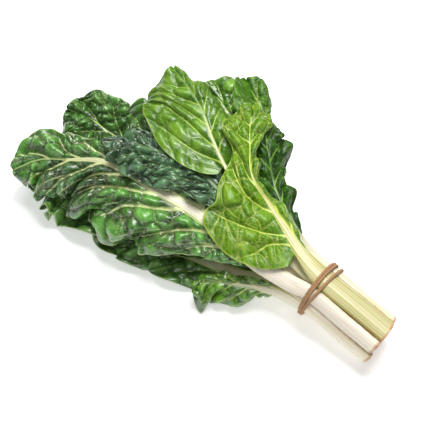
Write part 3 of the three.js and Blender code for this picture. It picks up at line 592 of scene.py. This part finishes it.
STALK_SIDES = 44
STALK_STEP = 2.5  # mm from one ring of the stalk to the next
CUT_AT = [1.2, 0.8, 0.25, 0, 0.5, 1.5]  # mm from the cut end, for rings from its hollow middle to its side
CUT_SIZE = [0.02, 0.45, 0.8, 0.93, 0.985, 1]  # and their shares of the stalk's size
CUT_DEPTH = 3  # mm from the cut end where the stalk's even rings begin
TIP_SIZE = [0.8, 0.5, 0.05]  # shares of the rib's size that close its tip
CUT_SLANT = 0.24  # the knife cut the bundle aslant and left its upper near side longer
CUT_LEAN = square_to(INWARD, np.array([0.12, -0.46, 0.88]))
CUT_BLEND = 45  # mm of stalk over which the slant fades
SHADED_EDGE_REACH = 75  # mm of stalk from the cut end over which painted shade browns its side edges
RIB_STOP = 0.98  # of the rib's reach, where its last rings are
RIDGE = 0.22  # height of the stalk's lengthwise ridges, mm
RIDGE_SPACING = 2.3
RIDGE_WANDER = 0.8  # of their spacing
FLATTER = 0.12  # of its half thickness that the rib is flatter on top beyond the twine
GREEN_FROM, GREEN_OVER = -50, 90  # mm from the blade's foot where a stalk begins to green, and over how many
UNDERSIDE = 30  # mm that the flat place of the underside is moved by, so that its fibres are its own


def rounded_bar(sides):
    """A rounded bar's section as shares of its half width and half thickness."""
    angle = 2 * np.pi * (np.arange(sides) + 0.5) / sides
    return (np.sign(np.cos(angle)) * np.abs(np.cos(angle)) ** 0.7,
            np.sign(np.sin(angle)) * np.abs(np.sin(angle)) ** 0.8)


def bowed(leaf, distance, across, height):
    """Points of the stalk's sections, at mm across and over its middle, bowed round the bundle."""
    origin, _, up, near = rib_frame(leaf, distance)
    radius = 1 / np.maximum(rib_size(leaf, distance)[2], 1e-5)[:, None]
    out = radius + height
    return (origin[:, None] + near[:, None] * (out * np.sin(across / radius))[..., None]
            + up[:, None] * (out * np.cos(across / radius) - radius)[..., None])


def tube_quads(n, m):
    """Quads between neighbours on n rings of m points, the last of them from the last ring to the first."""
    index = np.arange(n * m).reshape(n, m)
    ahead, beside = np.roll(index, -1, axis=0), np.roll(index, -1, axis=1)
    return np.stack([index, beside, np.roll(ahead, -1, axis=1), ahead], -1)


def stalk_mesh(leaf):
    """The stalk and midrib: a rounded, ridged section carried along its line, flatter on top in the blade.

    Each end is closed by rings that shrink to the section's middle."""
    rib_end = leaf.blade_at + RIB_SHARE * RIB_STOP * leaf.spread
    even = np.arange(CUT_DEPTH, rib_end, STALK_STEP)
    distance = np.concatenate([CUT_AT, even, [rib_end] * len(TIP_SIZE)])
    shrink = np.concatenate([CUT_SIZE, np.ones(len(even)), TIP_SIZE])[:, None]
    width, thickness = (size[:, None] for size in rib_size(leaf, distance)[:2])
    s, t = rounded_bar(STALK_SIDES)
    along = distance[:, None] + 0 * s
    wander = RIDGE_WANDER * swell(along, 0 * along + s * 4, 60, leaf.seed)
    ridges = RIDGE * np.cos(2 * np.pi * (s * width / RIDGE_SPACING + wander)) * np.minimum(1, width / 4)
    flatter = FLATTER * smooth((along - leaf.tie_at) / 40) * (1 - s * s) * (t > 0)
    height = (t - flatter) * thickness + ridges * (t > 0.1)
    points = bowed(leaf, distance, s * width * shrink, height * shrink)
    slant = CUT_SLANT * ((points - CUT_END) @ CUT_LEAN) * np.maximum(0, 1 - along / CUT_BLEND)
    points -= INWARD * slant[..., None]
    points[..., 2] += lift_at(leaf, distance, np.zeros(1), 0)
    points[..., 2] = np.maximum(points[..., 2], TABLE_GAP)
    n, m = along.shape
    quads = [tube_quads(n, m)[:-1].reshape(-1, 4)]
    index = np.arange(n * m).reshape(n, m)
    for ring, middle, order in ((index[0], n * m, (0, 3, 2, 1)), (index[-1], n * m + 1, (0, 1, 2, 3))):
        fan = [*(np.roll(ring, -k)[0::2] for k in (0, 1, 2)), np.full(m // 2, middle)]
        quads.append(np.stack([fan[k] for k in order], -1))
    rim = np.clip(1 - np.abs(shrink - CUT_SIZE[3]) / 0.2, 0, 1) * (along < CUT_DEPTH)
    # Painted shade: a brown along the side edges near the cut end, where the stalks lie against each other.
    # The rim mark carries it together with the cut rim's own brown.
    painted_edge_shade = 0.8 * smooth((np.abs(s) - 0.82) / 0.16) * np.clip(1 - along / SHADED_EDGE_REACH, 0, 1)
    marks = {"cut": (1 - smooth((along + 2 * (shrink - 1)) / 3.5)) * (along < CUT_DEPTH),
             "rim": np.maximum(rim, painted_edge_shade),
             "leafward": smooth((along - leaf.blade_at - GREEN_FROM) / GREEN_OVER),
             "tip": smooth(((along - leaf.blade_at) / leaf.spread - 0.25) / 0.5),
             "side": np.abs(s) + 0 * along}
    marks = {key: np.append(values, values[[0, -1], 0]) for key, values in marks.items()}
    flat = np.stack([along, s * width + UNDERSIDE * (t < 0)], -1)
    flat = np.concatenate([flat.reshape(-1, 2), flat[[0, -1], 0]])
    points = np.concatenate([points.reshape(-1, 3), points[[0, -1]].mean(1)])
    return closed_piece("stalk_" + leaf.name, points, np.concatenate(quads), flat, marks)


def marks_of(tree, *keys):
    """The mesh's marks of those names, for the nodes of a material."""
    return {key: node(tree, "Attribute", out="Fac", attribute_name=key) for key in keys}


# Painted shade: the tint that darkens a patch of the blade and makes it bluer.
PAINTED_SHADE_TINT = (0.52, 0.5, 0.98)


# Textures are scaled per metre. A MapRange takes a value, the ends of its range and what they become.
def blade_green(name, crease_shade_green, fresh, vein, rough=0.34, net=0.25, coat=0.5, bloom=0.0, shine=0.5):
    """Leaf green with painted shade: a darker green in the creases and near the side veins, fresh on the
    blisters, with pale veins and a waxy gloss.

    A fine net of the vein's tint is as strong as net, and bloom is a bluish sheen."""
    material, tree, shader = new_material(name)
    flat = node(tree, "UVMap", uv_map="flat")
    mark = marks_of(tree, "vein", "painted_shading", "under", "web", "margin", "bluish")
    cloud = node(tree, "TexNoise", Vector=flat, Scale=28, Detail=4, Roughness=0.6)
    uneven = node(tree, "Math", [cloud, 1.8, -1.05], operation="MULTIPLY_ADD")
    # Painted shade: the blade is mixed towards its darker green in the creases and near the side veins.
    lit = node(tree, "Math", [mark["painted_shading"], uneven], operation="ADD", use_clamp=True)
    green = node(tree, "MixRGB", [lit, crease_shade_green, fresh])
    shaded_patch = node(tree, "MixRGB", [mark["bluish"], green, PAINTED_SHADE_TINT], blend_type="MULTIPLY")
    lattice = node(tree, "TexVoronoi", feature="DISTANCE_TO_EDGE", Vector=flat, Scale=230, Randomness=0.9)
    thread = node(tree, "MapRange", [lattice, 0, 0.09, net, 0])
    netted = node(tree, "MixRGB", [thread, shaded_patch, vein])
    lines = node(tree, "MapRange", [mark["vein"], 0.2, 0.85, 0, 0.92])
    lines = node(tree, "Math", [lines, mark["web"]], operation="MAXIMUM")
    hem = node(tree, "MapRange", [mark["margin"], 0.965, 0.99, 0, 0.55])
    lines = node(tree, "Math", [lines, hem], operation="MAXIMUM")
    veined = node(tree, "MixRGB", [lines, netted, vein])
    halfway = node(tree, "Math", [mark["under"], 0.5], operation="MULTIPLY")
    paler = node(tree, "MixRGB", [halfway, veined, 0.55 * np.array(fresh) + 0.12])
    gloss = node(tree, "MapRange", [cloud, 0, 1, rough - 0.08, rough + 0.14])
    pores = node(tree, "TexNoise", Vector=flat, Scale=700, Detail=3)
    pucker = node(tree, "Bump", Strength=0.25, Distance=0.0005, Height=lattice)
    skin = node(tree, "Bump", Strength=0.1, Distance=0.0002, Height=pores, Normal=pucker)
    feed(tree, shader.inputs, {"Base Color": paler, "Roughness": gloss, "Normal": skin,
                               "Specular IOR Level": shine, "Coat Weight": coat, "Coat Roughness": 0.2,
                               "Sheen Weight": bloom, "Sheen Roughness": 0.4, "Sheen Tint": (0.75, 0.9, 1.0)})
    return material


PITH = (0.66, 0.53, 0.33)
# Brown of the cut rim, which also serves as painted shade on the stalks' side edges.
RUST_AND_SHADE = (0.5, 0.21, 0.06)


def stalk_pale(name, flesh, stripe, leafward, tip, striping=0.8, greening=0.0):
    """Stalk flesh: pale with long fibres of a second tint, greener towards the blade, browned where cut, and
    with painted shade in that brown along its side edges near the cut end.
    """
    material, tree, shader = new_material(name)
    flat = node(tree, "UVMap", uv_map="flat")
    mark = marks_of(tree, "cut", "rim", "leafward", "side", "tip")
    long_way = node(tree, "Mapping", Vector=flat, Scale=(4, 640, 1))
    fibres = node(tree, "TexNoise", Vector=long_way, Scale=1, Detail=5, Roughness=0.65)
    bands = node(tree, "MapRange", [fibres, 0.45, 0.57, 0, striping])
    edgeward = node(tree, "MapRange", [mark["side"], 0.2, 1, 0.55, 1.3])
    stripes = node(tree, "Math", [bands, edgeward], operation="MULTIPLY", use_clamp=True)
    striped = node(tree, "MixRGB", [stripes, flesh, stripe])
    breadth = node(tree, "Math", [mark["side"], greening], operation="MAXIMUM")
    weight = node(tree, "Math", [mark["leafward"], breadth], operation="MULTIPLY")
    greener = node(tree, "MixRGB", [weight, striped, leafward])
    ending = node(tree, "MixRGB", [mark["tip"], greener, tip])
    pith = node(tree, "MixRGB", [mark["cut"], ending, PITH])
    # Noisy patches of that brown on the rim mark: the cut rim's own browning, and painted shade on the side
    # edges.
    rust_and_shade_noise = node(tree, "TexNoise", Vector=flat, Scale=160, Detail=3)
    patch = node(tree, "MapRange", [rust_and_shade_noise, 0.35, 0.6])
    rust_and_shade = node(tree, "Math", [mark["rim"], patch], operation="MULTIPLY")
    browned = node(tree, "MixRGB", [rust_and_shade, pith, RUST_AND_SHADE])
    gloss = node(tree, "MapRange", [fibres, 0, 1, 0.3, 0.5])
    grain = node(tree, "Bump", Strength=0.5, Distance=0.0005, Height=fibres)
    feed(tree, shader.inputs, {"Base Color": browned, "Roughness": gloss, "Normal": grain,
                               "Subsurface Weight": 0.35, "Subsurface Radius": (0.008, 0.006, 0.003),
                               "Coat Weight": 0.15, "Coat Roughness": 0.25})
    return material


# What a leaf has unless its own section says otherwise, in mm:
#
# grain       spacing of the blade's mesh
# blister     height of the large blisters, per the usual, and fine that of the small ones
# vein_width  half width of a side vein where it leaves the rib
# frill       height of the margin's frill, pleat that of the pleats and rolling that of the long rolls
# tuck        how far the blade is tucked down towards its side veins
# fullness    share of its puff that the blade has
# web         how pale the lines round the blisters are
# bluish      shares of the blade between which its near half has painted shade, darker and bluer
# lost        share of its paleness that the rib's line loses towards the tip

DEFAULTS = dict(narrow=[1, 0.95, 0.78, 0.55, 0.34, 0.14], drawn=None, grain=1.25, blister=1.0, fine=1.0,
                blister_size=13.0, vein_width=1.1, frill=2.0, pleat=0.4, web=0.08, rolling=2.0, tuck=1.5,
                bluish=(2, 3), lost=0.4, fullness=1.0)
PHASE_STEP = 0.618  # of a turn from one leaf's folds to the next one's
laid = []


def fit(piece, finish, replaced):
    """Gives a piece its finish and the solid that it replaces."""
    piece.data.materials.append(finish)
    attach(piece, "root")
    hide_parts(replaced)


def lay_leaf(blade_finish, stalk_finish, blade_slot, stalk_slot, **sizes):
    """Lays the next leaf on the pile: its blade and stalk in their finishes, in place of its two solids."""
    leaf = SimpleNamespace(**{**DEFAULTS, **sizes})
    leaf.phase = len(laid) * PHASE_STEP % 1
    leaf.seed = 100 * (len(laid) + 1)
    laid.append(leaf)
    stalk_line(leaf)
    lay_down(leaf)
    fit(blade_mesh(leaf), blade_finish, f"leaf_{leaf.name}_blade")
    fit(stalk_mesh(leaf), stalk_finish, f"leaf_{leaf.name}_stalk")


low_green = blade_green("low_green", (0.014, 0.07, 0.006), (0.175, 0.39, 0.085), (0.35, 0.5, 0.12),
                        rough=0.3, net=0.12)
cream = stalk_pale("cream", (0.86, 0.79, 0.67), (0.66, 0.6, 0.24), (0.5, 0.58, 0.22), (0.3, 0.42, 0.12))

lay_leaf(
    low_green, cream, "leaf_dark", "stalk_cream",
    name="under_near", place=290, stalk=[10.0, 4.4], trim=2,
    path=[[67, -8, 22], [27, -18, 12], [-9, -25, 11], [-41, -33, 11], [-72, -42, 12],
          [-101, -51, 12], [-130, -60, 12]],
    face=[None, UP, UP, UP, UP], blade=60,
    near=[6, 24, 28, 28, 24, 18], far=[5, 14, 18, 18, 16, 12],
    lift=[[-5, 0, 0], [10, 15, 15]], curl=[[-20, -30, -30], [20, 30, 40]],
    waves=3.5, ruffle=[[4, 10, 11], [4, 8, 9]], puff=4, veins=4, vein_width=0.8, grain=1.5)

# ---- The lowest leaf on the far side ----
# The broad green leaf that most of the bunch lies on. Its blade rests on the table and reaches out at the
# left, and its stalk is held low on the far side of the ring.

lay_leaf(
    low_green, cream, "leaf_dark", "stalk_cream",
    name="under_far", place=231, stalk=[9.0, 4.4], trim=4,
    path=[[66, 16, 24], [30, 14, 16], [-40, 4, 13], [-81, -1, 13], [-121, -10, 15], [-168, -21, 18],
          [-201, -46, 24], [-207, -72, 28]],
    face=[None, UP, UP, UP, UP], blade=90,
    near=[6, 40, 58, 60, 50, 32], far=[6, 50, 62, 54, 40, 28],
    lift=[[5, 3, 0], [0, 0, 5]], curl=[[-10, -10, 10], [-30, -30, -10]],
    waves=5.3, ruffle=[[4, 8, 9], [4, 9, 9]], puff=5, veins=5, vein_width=0.8, grain=1.5)

# ---- The short leaf at the near side ----
# A mid green leaf on a broad stalk in the near side of the ring. Its blade hangs over the stalks below
# it, with its margin rolled under.

mid_green = blade_green("mid_green", (0.014, 0.08, 0.002), (0.155, 0.38, 0.028), (0.45, 0.58, 0.13),
                        rough=0.25, net=0.2)

lay_leaf(
    mid_green, cream, "leaf_green", "stalk_cream",
    name="near_low", place=355, stalk=[9.8, 4.6], narrow=[1, 0.85, 0.5, 0.25, 0.15, 0.1], trim=3,
    path=[[80, -22, 35], [58, -26, 31], [34, -38, 30], [9, -52, 29], [0, -66, 24]],
    face=[None, [0, -0.9, 0.3], [0, -0.5, 1], [0, -0.3, 1]], blade=42,
    near=[4, 18, 28, 26, 14], far=[4, 8, 8, 8, 6],
    lift=[[-10, -20, -20], [20, 20, 20]], curl=[[-60, -90, -90], [-20, -40, -60]],
    waves=3, ruffle=[[3, 10, 11], [2, 5, 5]], puff=4, veins=4)

# ---- The dark leaf at the back left ----
# A long leaf whose stalk runs inside the ring. Its blade is strongly crinkled, as the tissue between the
# veins grew faster than they did, and its blistered back shows over the others.

dark_green = blade_green("dark_green", (0.005, 0.033, 0.003), (0.095, 0.27, 0.042), (0.4, 0.56, 0.13),
                         rough=0.28, net=0.12)

lay_leaf(
    dark_green, cream, "leaf_dark", "stalk_cream",
    name="back_left", place=[0, -9.2], stalk=[8.6, 3.9], trim=2,
    path=[[69, 6, 34], [35, 14, 34], [-32, 23, 38], [-94, 22, 42], [-137, 19, 50], [-168, 16, 60],
          [-196, 14, 67], [-218, 8, 70]],
    face=[UP, UP, UP, [0.1, -0.3, 1], [0.3, -0.6, 1]], blade=110,
    near=[6, 40, 46, 42, 38, 30], far=[6, 50, 58, 46, 30, 22],
    lift=[[0, 10, 10], [-10, -5, 5]], curl=[[-20, -30, -30], [-40, -50, -40]],
    waves=5, ruffle=[[3, 10, 11], [6, 11, 11]], puff=6.5, veins=6,
    blister=1.8, blister_size=12.0, fine=1.4, grain=1.1, pleat=0.2, tuck=3.0, lost=0.0)

# ---- The small leaf behind the top ----
# A narrow leaf from inside the ring that stands behind the others. It is seen edge on from the near side,
# with its pale rib on the outline.

lay_leaf(
    mid_green, cream, "leaf_green", "stalk_cream",
    name="back_top", place=[9.8, 0], stalk=[5.2, 3.7], trim=3,
    path=[[70, 13, 44], [30, 22, 50], [-16, 48, 64], [-45, 73, 76], [-66, 88, 86], [-89, 97, 92],
          [-112, 101, 92]],
    face=[UP, UP, [0, -0.3, 1], [0.2, -0.5, 1], [0.2, -0.5, 1]], blade=120,
    near=[5, 24, 28, 24, 18], far=[5, 22, 26, 22, 16],
    lift=[[5, 5, 5], [0, 0, 0]], curl=[[-30, -50, -50], [-40, -60, -60]],
    waves=3, ruffle=[[3, 6, 6], [3, 6, 6]], puff=4, veins=4)

# ---- The two leaves at the far right ----
# A smooth leaf that leans away from the bundle, and a short curled one in its shade whose rib is as green
# as its blade. Both stalks are in the far side of the ring.

fresh_green = blade_green("fresh_green", (0.012, 0.07, 0.001), (0.07, 0.21, 0.008), (0.4, 0.55, 0.08),
                          rough=0.38, net=0.15, coat=0.08, shine=0.35)
# Painted shade: the curled leaf's green is a darker copy of the smooth leaf's, for the shade that it lies in.
painted_shade_green = blade_green("painted_shade_green", (0.005, 0.03, 0.001), (0.035, 0.13, 0.005), (0.22, 0.42, 0.04),
                          rough=0.38, net=0.1, coat=0.05, shine=0.3)
green_rib = stalk_pale("green_rib", (0.84, 0.76, 0.62), (0.66, 0.62, 0.3), (0.08, 0.2, 0.04),
                       (0.07, 0.18, 0.03), greening=0.9)

lay_leaf(
    fresh_green, cream, "leaf_bright", "stalk_cream",
    name="right_far", place=186, stalk=[7.8, 4.4], trim=0,
    path=[[80, 26, 38], [58, 34, 45], [26, 51, 56], [-8, 77, 68], [-37, 101, 78], [-61, 123, 84],
          [-85, 140, 86]],
    face=[None, [0, 1, 0.4], [0.2, -0.2, 1], [0.2, -0.6, 1], [0.2, -0.7, 0.8]], blade=95,
    near=[5, 12, 20, 24, 18], far=[4, 8, 10, 16, 14],
    lift=[[10, 10, 10], [10, 10, 10]], curl=[[-40, -60, -40], [-30, -60, -60]],
    waves=2, ruffle=[[2, 4, 4], [2, 4, 4]], puff=3, veins=4)

lay_leaf(
    painted_shade_green, green_rib, "leaf_green", "stalk_cream",
    name="right_near", place=144, stalk=[7.8, 4.4], narrow=[1, 0.75, 0.4, 0.25, 0.15, 0.1], trim=1,
    path=[[83, 20, 56], [64, 25, 60], [46, 34, 63], [23, 46, 68], [1, 63, 73], [-19, 82, 76],
          [-35, 100, 77]],
    face=[None, [0, 0.6, 1], [0.2, 0, 1], [0.2, -0.4, 1]], blade=52,
    near=[4, 10, 16, 24, 22, 14], far=[4, 12, 14, 24, 20, 12],
    lift=[[20, 10, 10], [0, 0, 0]], curl=[[-40, -60, -40], [30, -40, -50]],
    waves=3.5, ruffle=[[4, 8, 8], [4, 8, 8]], puff=5, veins=5)

# ---- The main leaf ----
# The long leaf in the middle. Its rib is broad, white and fleshy, and sends thick pale side veins into the
# near half of the blade, which hangs down towards the table. Painted shade makes the part of that half
# towards the tip darker and bluer.

main_green = blade_green("main_green", (0.007, 0.046, 0.004), (0.12, 0.38, 0.052), (0.68, 0.75, 0.34),
                         rough=0.27, net=0.15)
white = stalk_pale("white", (0.87, 0.8, 0.7), (0.66, 0.58, 0.34), (0.62, 0.66, 0.33), (0.6, 0.62, 0.34),
                   striping=0.6)

lay_leaf(
    main_green, white, "leaf_mid", "stalk_white",
    name="main", place=41, stalk=[7.4, 4.8], narrow=[1, 1.15, 0.95, 0.75, 0.5, 0.2], trim=3,
    path=[[77, -18, 53], [36, -20, 58], [-25, -16, 68], [-77, -20, 74], [-113, -22, 77],
          [-145, -26, 74], [-172, -37, 66], [-206, -51, 54], [-224, -73, 46]],
    face=[None, [0, -0.25, 1], [0, -0.3, 1], [0, -0.3, 1], [-0.3, -0.3, 1]], blade=72,
    near=[4, 26, 62, 66, 56, 48, 38, 26], far=[6, 18, 20, 14, 14, 22, 30, 24],
    lift=[[0, -8, -10], [-25, -15, 10]], curl=[[-40, -90, -70], [-10, -20, -30]],
    waves=5, ruffle=[[4, 12, 11], [3, 9, 9]], puff=7, veins=7,
    drawn=[[0.02, 0.1, 0.16, 0.2], [0.11, 0.24, 0.305, 0.35], [0.29, 0.42, 0.43, 0.45],
           [0.4, 0.55, 0.61, 0.64], [0.53, 0.66, 0.7, 0.72], [0.64, 0.75, 0.79, 0.81],
           [0.77, 0.85, 0.88, 0.9]],
    vein_width=2.3, grain=1.1, blister=1.5, blister_size=15.0, fine=0.8, web=0.12, pleat=0.8,
    tuck=3.5, bluish=(0.5, 0.86))

# ---- The leaf across the middle ----
# An older leaf that lies over the main one. Its blade is thick, dark and strongly blistered, with a bluish
# bloom of wax, and its stalk runs inside the ring.

blue_green = blade_green("blue_green", (0.003, 0.022, 0.006), (0.125, 0.28, 0.12), (0.25, 0.38, 0.1),
                         rough=0.27, net=0.1, coat=0.7, bloom=0.35)

lay_leaf(
    blue_green, green_rib, "leaf_dark", "stalk_cream",
    name="across", place=[-3.9, 0], stalk=[7.5, 3.7], narrow=[1, 0.8, 0.45, 0.25, 0.15, 0.1], trim=1,
    path=[[81, -1, 43], [51, 2, 49], [2, 10, 64], [-43, 18, 76], [-78, 17, 83], [-107, 10, 84],
          [-135, 3, 82], [-152, -10, 76]],
    face=[UP, UP, [0, -0.1, 1], UP, UP], blade=80,
    near=[4, 12, 34, 43, 38, 30, 20], far=[5, 16, 24, 26, 20, 14, 10],
    lift=[[0, -5, -5], [0, 0, 0]], curl=[[-10, -25, -35], [-10, -20, -20]],
    waves=5, ruffle=[[2, 6, 7], [2, 6, 6]], puff=5.5, veins=6,
    drawn=[[0.08, 0.25, 0.34, 0.4], [0.24, 0.43, 0.52, 0.57], [0.43, 0.61, 0.7, 0.75],
           [0.6, 0.74, 0.8, 0.84], [0.76, 0.85, 0.89, 0.92]],
    blister=2.0, blister_size=12.5, fine=1.4, vein_width=0.6, grain=1.0, web=0.1, pleat=0.0, tuck=1.0)

# ---- The upright leaf ----
# A young leaf that stands highest at the top. Its blade is broad, bright and nearly smooth on a pale
# green-white stalk from inside the ring.

bright_green = blade_green("bright_green", (0.025, 0.11, 0.001), (0.15, 0.32, 0.02), (0.46, 0.6, 0.1),
                           rough=0.32, net=0.2, coat=0.25)
green_white = stalk_pale("green_white", (0.78, 0.74, 0.5), (0.55, 0.55, 0.16), (0.34, 0.48, 0.13),
                         (0.17, 0.34, 0.04))

lay_leaf(
    bright_green, green_white, "leaf_bright", "stalk_yellow",
    name="upright", place=[0, 9.2], stalk=[8.6, 3.9], narrow=[1, 0.72, 0.36, 0.22, 0.14, 0.1], trim=2,
    path=[[60, 6, 57], [14, 18, 72], [-17, 27, 83], [-41, 37, 92], [-62, 49, 100], [-85, 65, 105],
          [-111, 79, 108], [-145, 95, 104]],
    face=[UP, UP, [0.1, -0.2, 1], [0.3, -0.5, 1], [0.2, -0.5, 1]], blade=150,
    near=[8, 48, 57, 50, 40, 26], far=[5, 18, 22, 16, 10, 8],
    lift=[[0, -5, 0], [-10, -10, -10]], curl=[[-10, -15, -20], [-20, -40, -40]],
    waves=2, ruffle=[[1, 1.2, 1.5], [2, 3, 3]], puff=4.5, veins=5,
    drawn=[[0.02, 0.15, 0.3, 0.38], [0.16, 0.42, 0.6, 0.68], [0.36, 0.57, 0.7, 0.77],
           [0.55, 0.7, 0.8, 0.85], [0.73, 0.83, 0.9, 0.94]],
    blister=0.8, blister_size=20.0, fine=0.3, vein_width=0.9, grain=1.1, web=0.15, rolling=4.0,
    pleat=0.1, frill=1.0, lost=0.8, fullness=0.6)

# ---- The front leaf ----
# The yellow-green leaf on top, a young one from the plant's heart. Its blade is folded back half way up,
# and its strongly ribbed stalk lies on top of the ring.

yellow_green = blade_green("yellow_green", (0.04, 0.14, 0.001), (0.14, 0.3, 0.006), (0.6, 0.7, 0.12),
                           rough=0.36, net=0.25, coat=0.08, shine=0.35)
yellow_stalk = stalk_pale("yellow_stalk", (0.63, 0.57, 0.34), (0.38, 0.38, 0.03), (0.6, 0.62, 0.2),
                          (0.56, 0.64, 0.12), striping=1.0)

lay_leaf(
    yellow_green, yellow_stalk, "leaf_yellow", "stalk_yellow",
    name="front", place=92, stalk=[11.5, 4.6], narrow=[1, 0.52, 0.28, 0.16, 0.1, 0.08], trim=0,
    path=[[74, 8, 69], [46, 19, 76], [19, 29, 84], [5, 32, 92], [-10, 42, 98], [-23, 59, 103],
          [-35, 75, 102], [-45, 92, 97], [-52, 104, 90]],
    face=[None, [0, -0.1, 1], [0.2, -0.4, 1], [0.3, -0.5, 1], [0.3, -0.3, 1]], blade=32,
    near=[12, 54, 62, 32, 17, 24, 22, 16], far=[5, 7, 7, 6, 6, 16, 22, 14],
    lift=[[0, 5, 0], [-30, -20, 0]], curl=[[-10, -20, -25], [-50, -60, -20]],
    waves=3, ruffle=[[2, 4, 4], [2, 5, 5]], puff=5, veins=6,
    drawn=[[0.05, 0.12, 0.125, 0.14], [0.11, 0.2, 0.29, 0.35], [0.27, 0.41, 0.5, 0.55],
           [0.45, 0.56, 0.62, 0.65], [0.71, 0.74, 0.77, 0.79], [0.83, 0.86, 0.88, 0.9]],
    blister_size=15.0, fine=0.5, grain=1.1, web=0.5, rolling=3.0, pleat=0.2, tuck=2.5)

# ---- The twine ----
# Brown plant-fibre twine twisted from two strands, wound three times tight round the stalks. The turns
# meet low on the near side and stand apart on the far side.

TWINE_RADIUS = 1.5
TWINE_GAP = 0.4
APART = (-4.4, 2.4, 5.2)  # mm along the bundle, opposite the place where the turns meet
MEET = (-0.9, 0.2, 1.3)  # mm along it where they meet
MEET_AT = np.radians(235)
STRANDS = 2
STRAND_CORE, STRAND_BULGE = 0.84, 0.22  # of the twine's radius
TWIST = 9.0  # mm of twine to a full turn of its strands
TWINE_STEPS = 360
TWINE_SIDES = 27
HELD = np.array([-8.0, -4, 0, 4, 8])  # mm along the stalks, where the twine presses on them

far_way = square_to(INWARD, np.array([0, 1, 0]))
up_way = np.cross(far_way, INWARD)


def stalk_outline():
    """The stalks' outer points round the twine, as (far, up) from the bundle's middle."""
    s, t = rounded_bar(8)
    found = []
    for leaf in laid:
        distance = leaf.tie_at + HELD
        width, thickness = (size[:, None] for size in rib_size(leaf, distance)[:2])
        found.append((bowed(leaf, distance, s * width, t * thickness) - TIE).reshape(-1, 3))
    found = np.concatenate(found)
    return np.stack([found @ far_way, found @ up_way], -1)


def twine_radius(outline, angle):
    """Distance of the twine's middle from the bundle's: it lies on the hull of the stalks' outline.

    The hull is the least, over tilted straight edges, of the outline's reach divided by the tilt's cosine."""
    tilt = np.radians(np.arange(-80, 81, 2))
    tilted = angle[:, None] + tilt
    reach = np.max(np.stack([np.cos(tilted), np.sin(tilted)], -1) @ outline.T, axis=-1)
    return np.min(reach / np.cos(tilt), axis=1) + TWINE_GAP + TWINE_RADIUS


def twine_turn(apart, meet):
    """One turn: a section of two lobes, turned as it goes along a ring on the stalks' hull."""
    angle = 2 * np.pi * np.arange(TWINE_STEPS) / TWINE_STEPS
    radius = twine_radius(stalk_outline(), angle)
    off = meet + (apart - meet) * (1 - np.cos(angle - MEET_AT)) / 2
    middle = (TIE + far_way * (radius * np.cos(angle))[:, None] + up_way * (radius * np.sin(angle))[:, None]
              + INWARD * off[:, None])
    forward = unit(np.roll(middle, -1, axis=0) - np.roll(middle, 1, axis=0))
    outward = square_to(forward, middle - TIE)
    beside = np.cross(forward, outward)
    steps = np.linalg.norm(np.roll(middle, -1, axis=0) - middle, axis=1)
    gone = np.concatenate([[0], np.cumsum(steps)])[:-1, None]
    turns = np.round(steps.sum() / TWIST) / steps.sum()
    around = 2 * np.pi * np.arange(TWINE_SIDES) / TWINE_SIDES
    twisted = around - 2 * np.pi * turns * gone
    lobes = TWINE_RADIUS * (STRAND_CORE + STRAND_BULGE * np.abs(np.cos(STRANDS / 2 * twisted)))
    points = (middle[:, None] + outward[:, None] * (lobes * np.cos(around))[..., None]
              + beside[:, None] * (lobes * np.sin(around))[..., None])
    flat = np.stack([gone + 0 * around, twisted * TWINE_RADIUS], -1)
    return points.reshape(-1, 3), tube_quads(TWINE_STEPS, TWINE_SIDES).reshape(-1, 4), flat.reshape(-1, 2)


def twine_brown():
    """Plant fibre: brown, with paler and darker hairs along its strands, dull and rough."""
    material, tree, shader = new_material("twine_brown")
    flat = node(tree, "UVMap", uv_map="flat")
    along_hair = node(tree, "Mapping", Vector=flat, Scale=(150, 2600, 1))
    hairs = node(tree, "TexNoise", Vector=along_hair, Scale=1, Detail=4)
    tint = node(tree, "MixRGB", [hairs, (0.19, 0.08, 0.03), (0.58, 0.35, 0.18)])
    fuzz = node(tree, "Bump", Strength=0.6, Distance=0.0004, Height=hairs)
    feed(tree, shader.inputs, {"Base Color": tint, "Roughness": 0.85, "Normal": fuzz})
    return material


points, quads, flat = zip(*(twine_turn(apart, meet) for apart, meet in zip(APART, MEET)))
quads = np.concatenate([quads[k] + k * len(points[0]) for k in range(len(points))])
twine = closed_piece("twine", np.concatenate(points), quads, np.concatenate(flat), {})
fit(twine, twine_brown(), "tie")
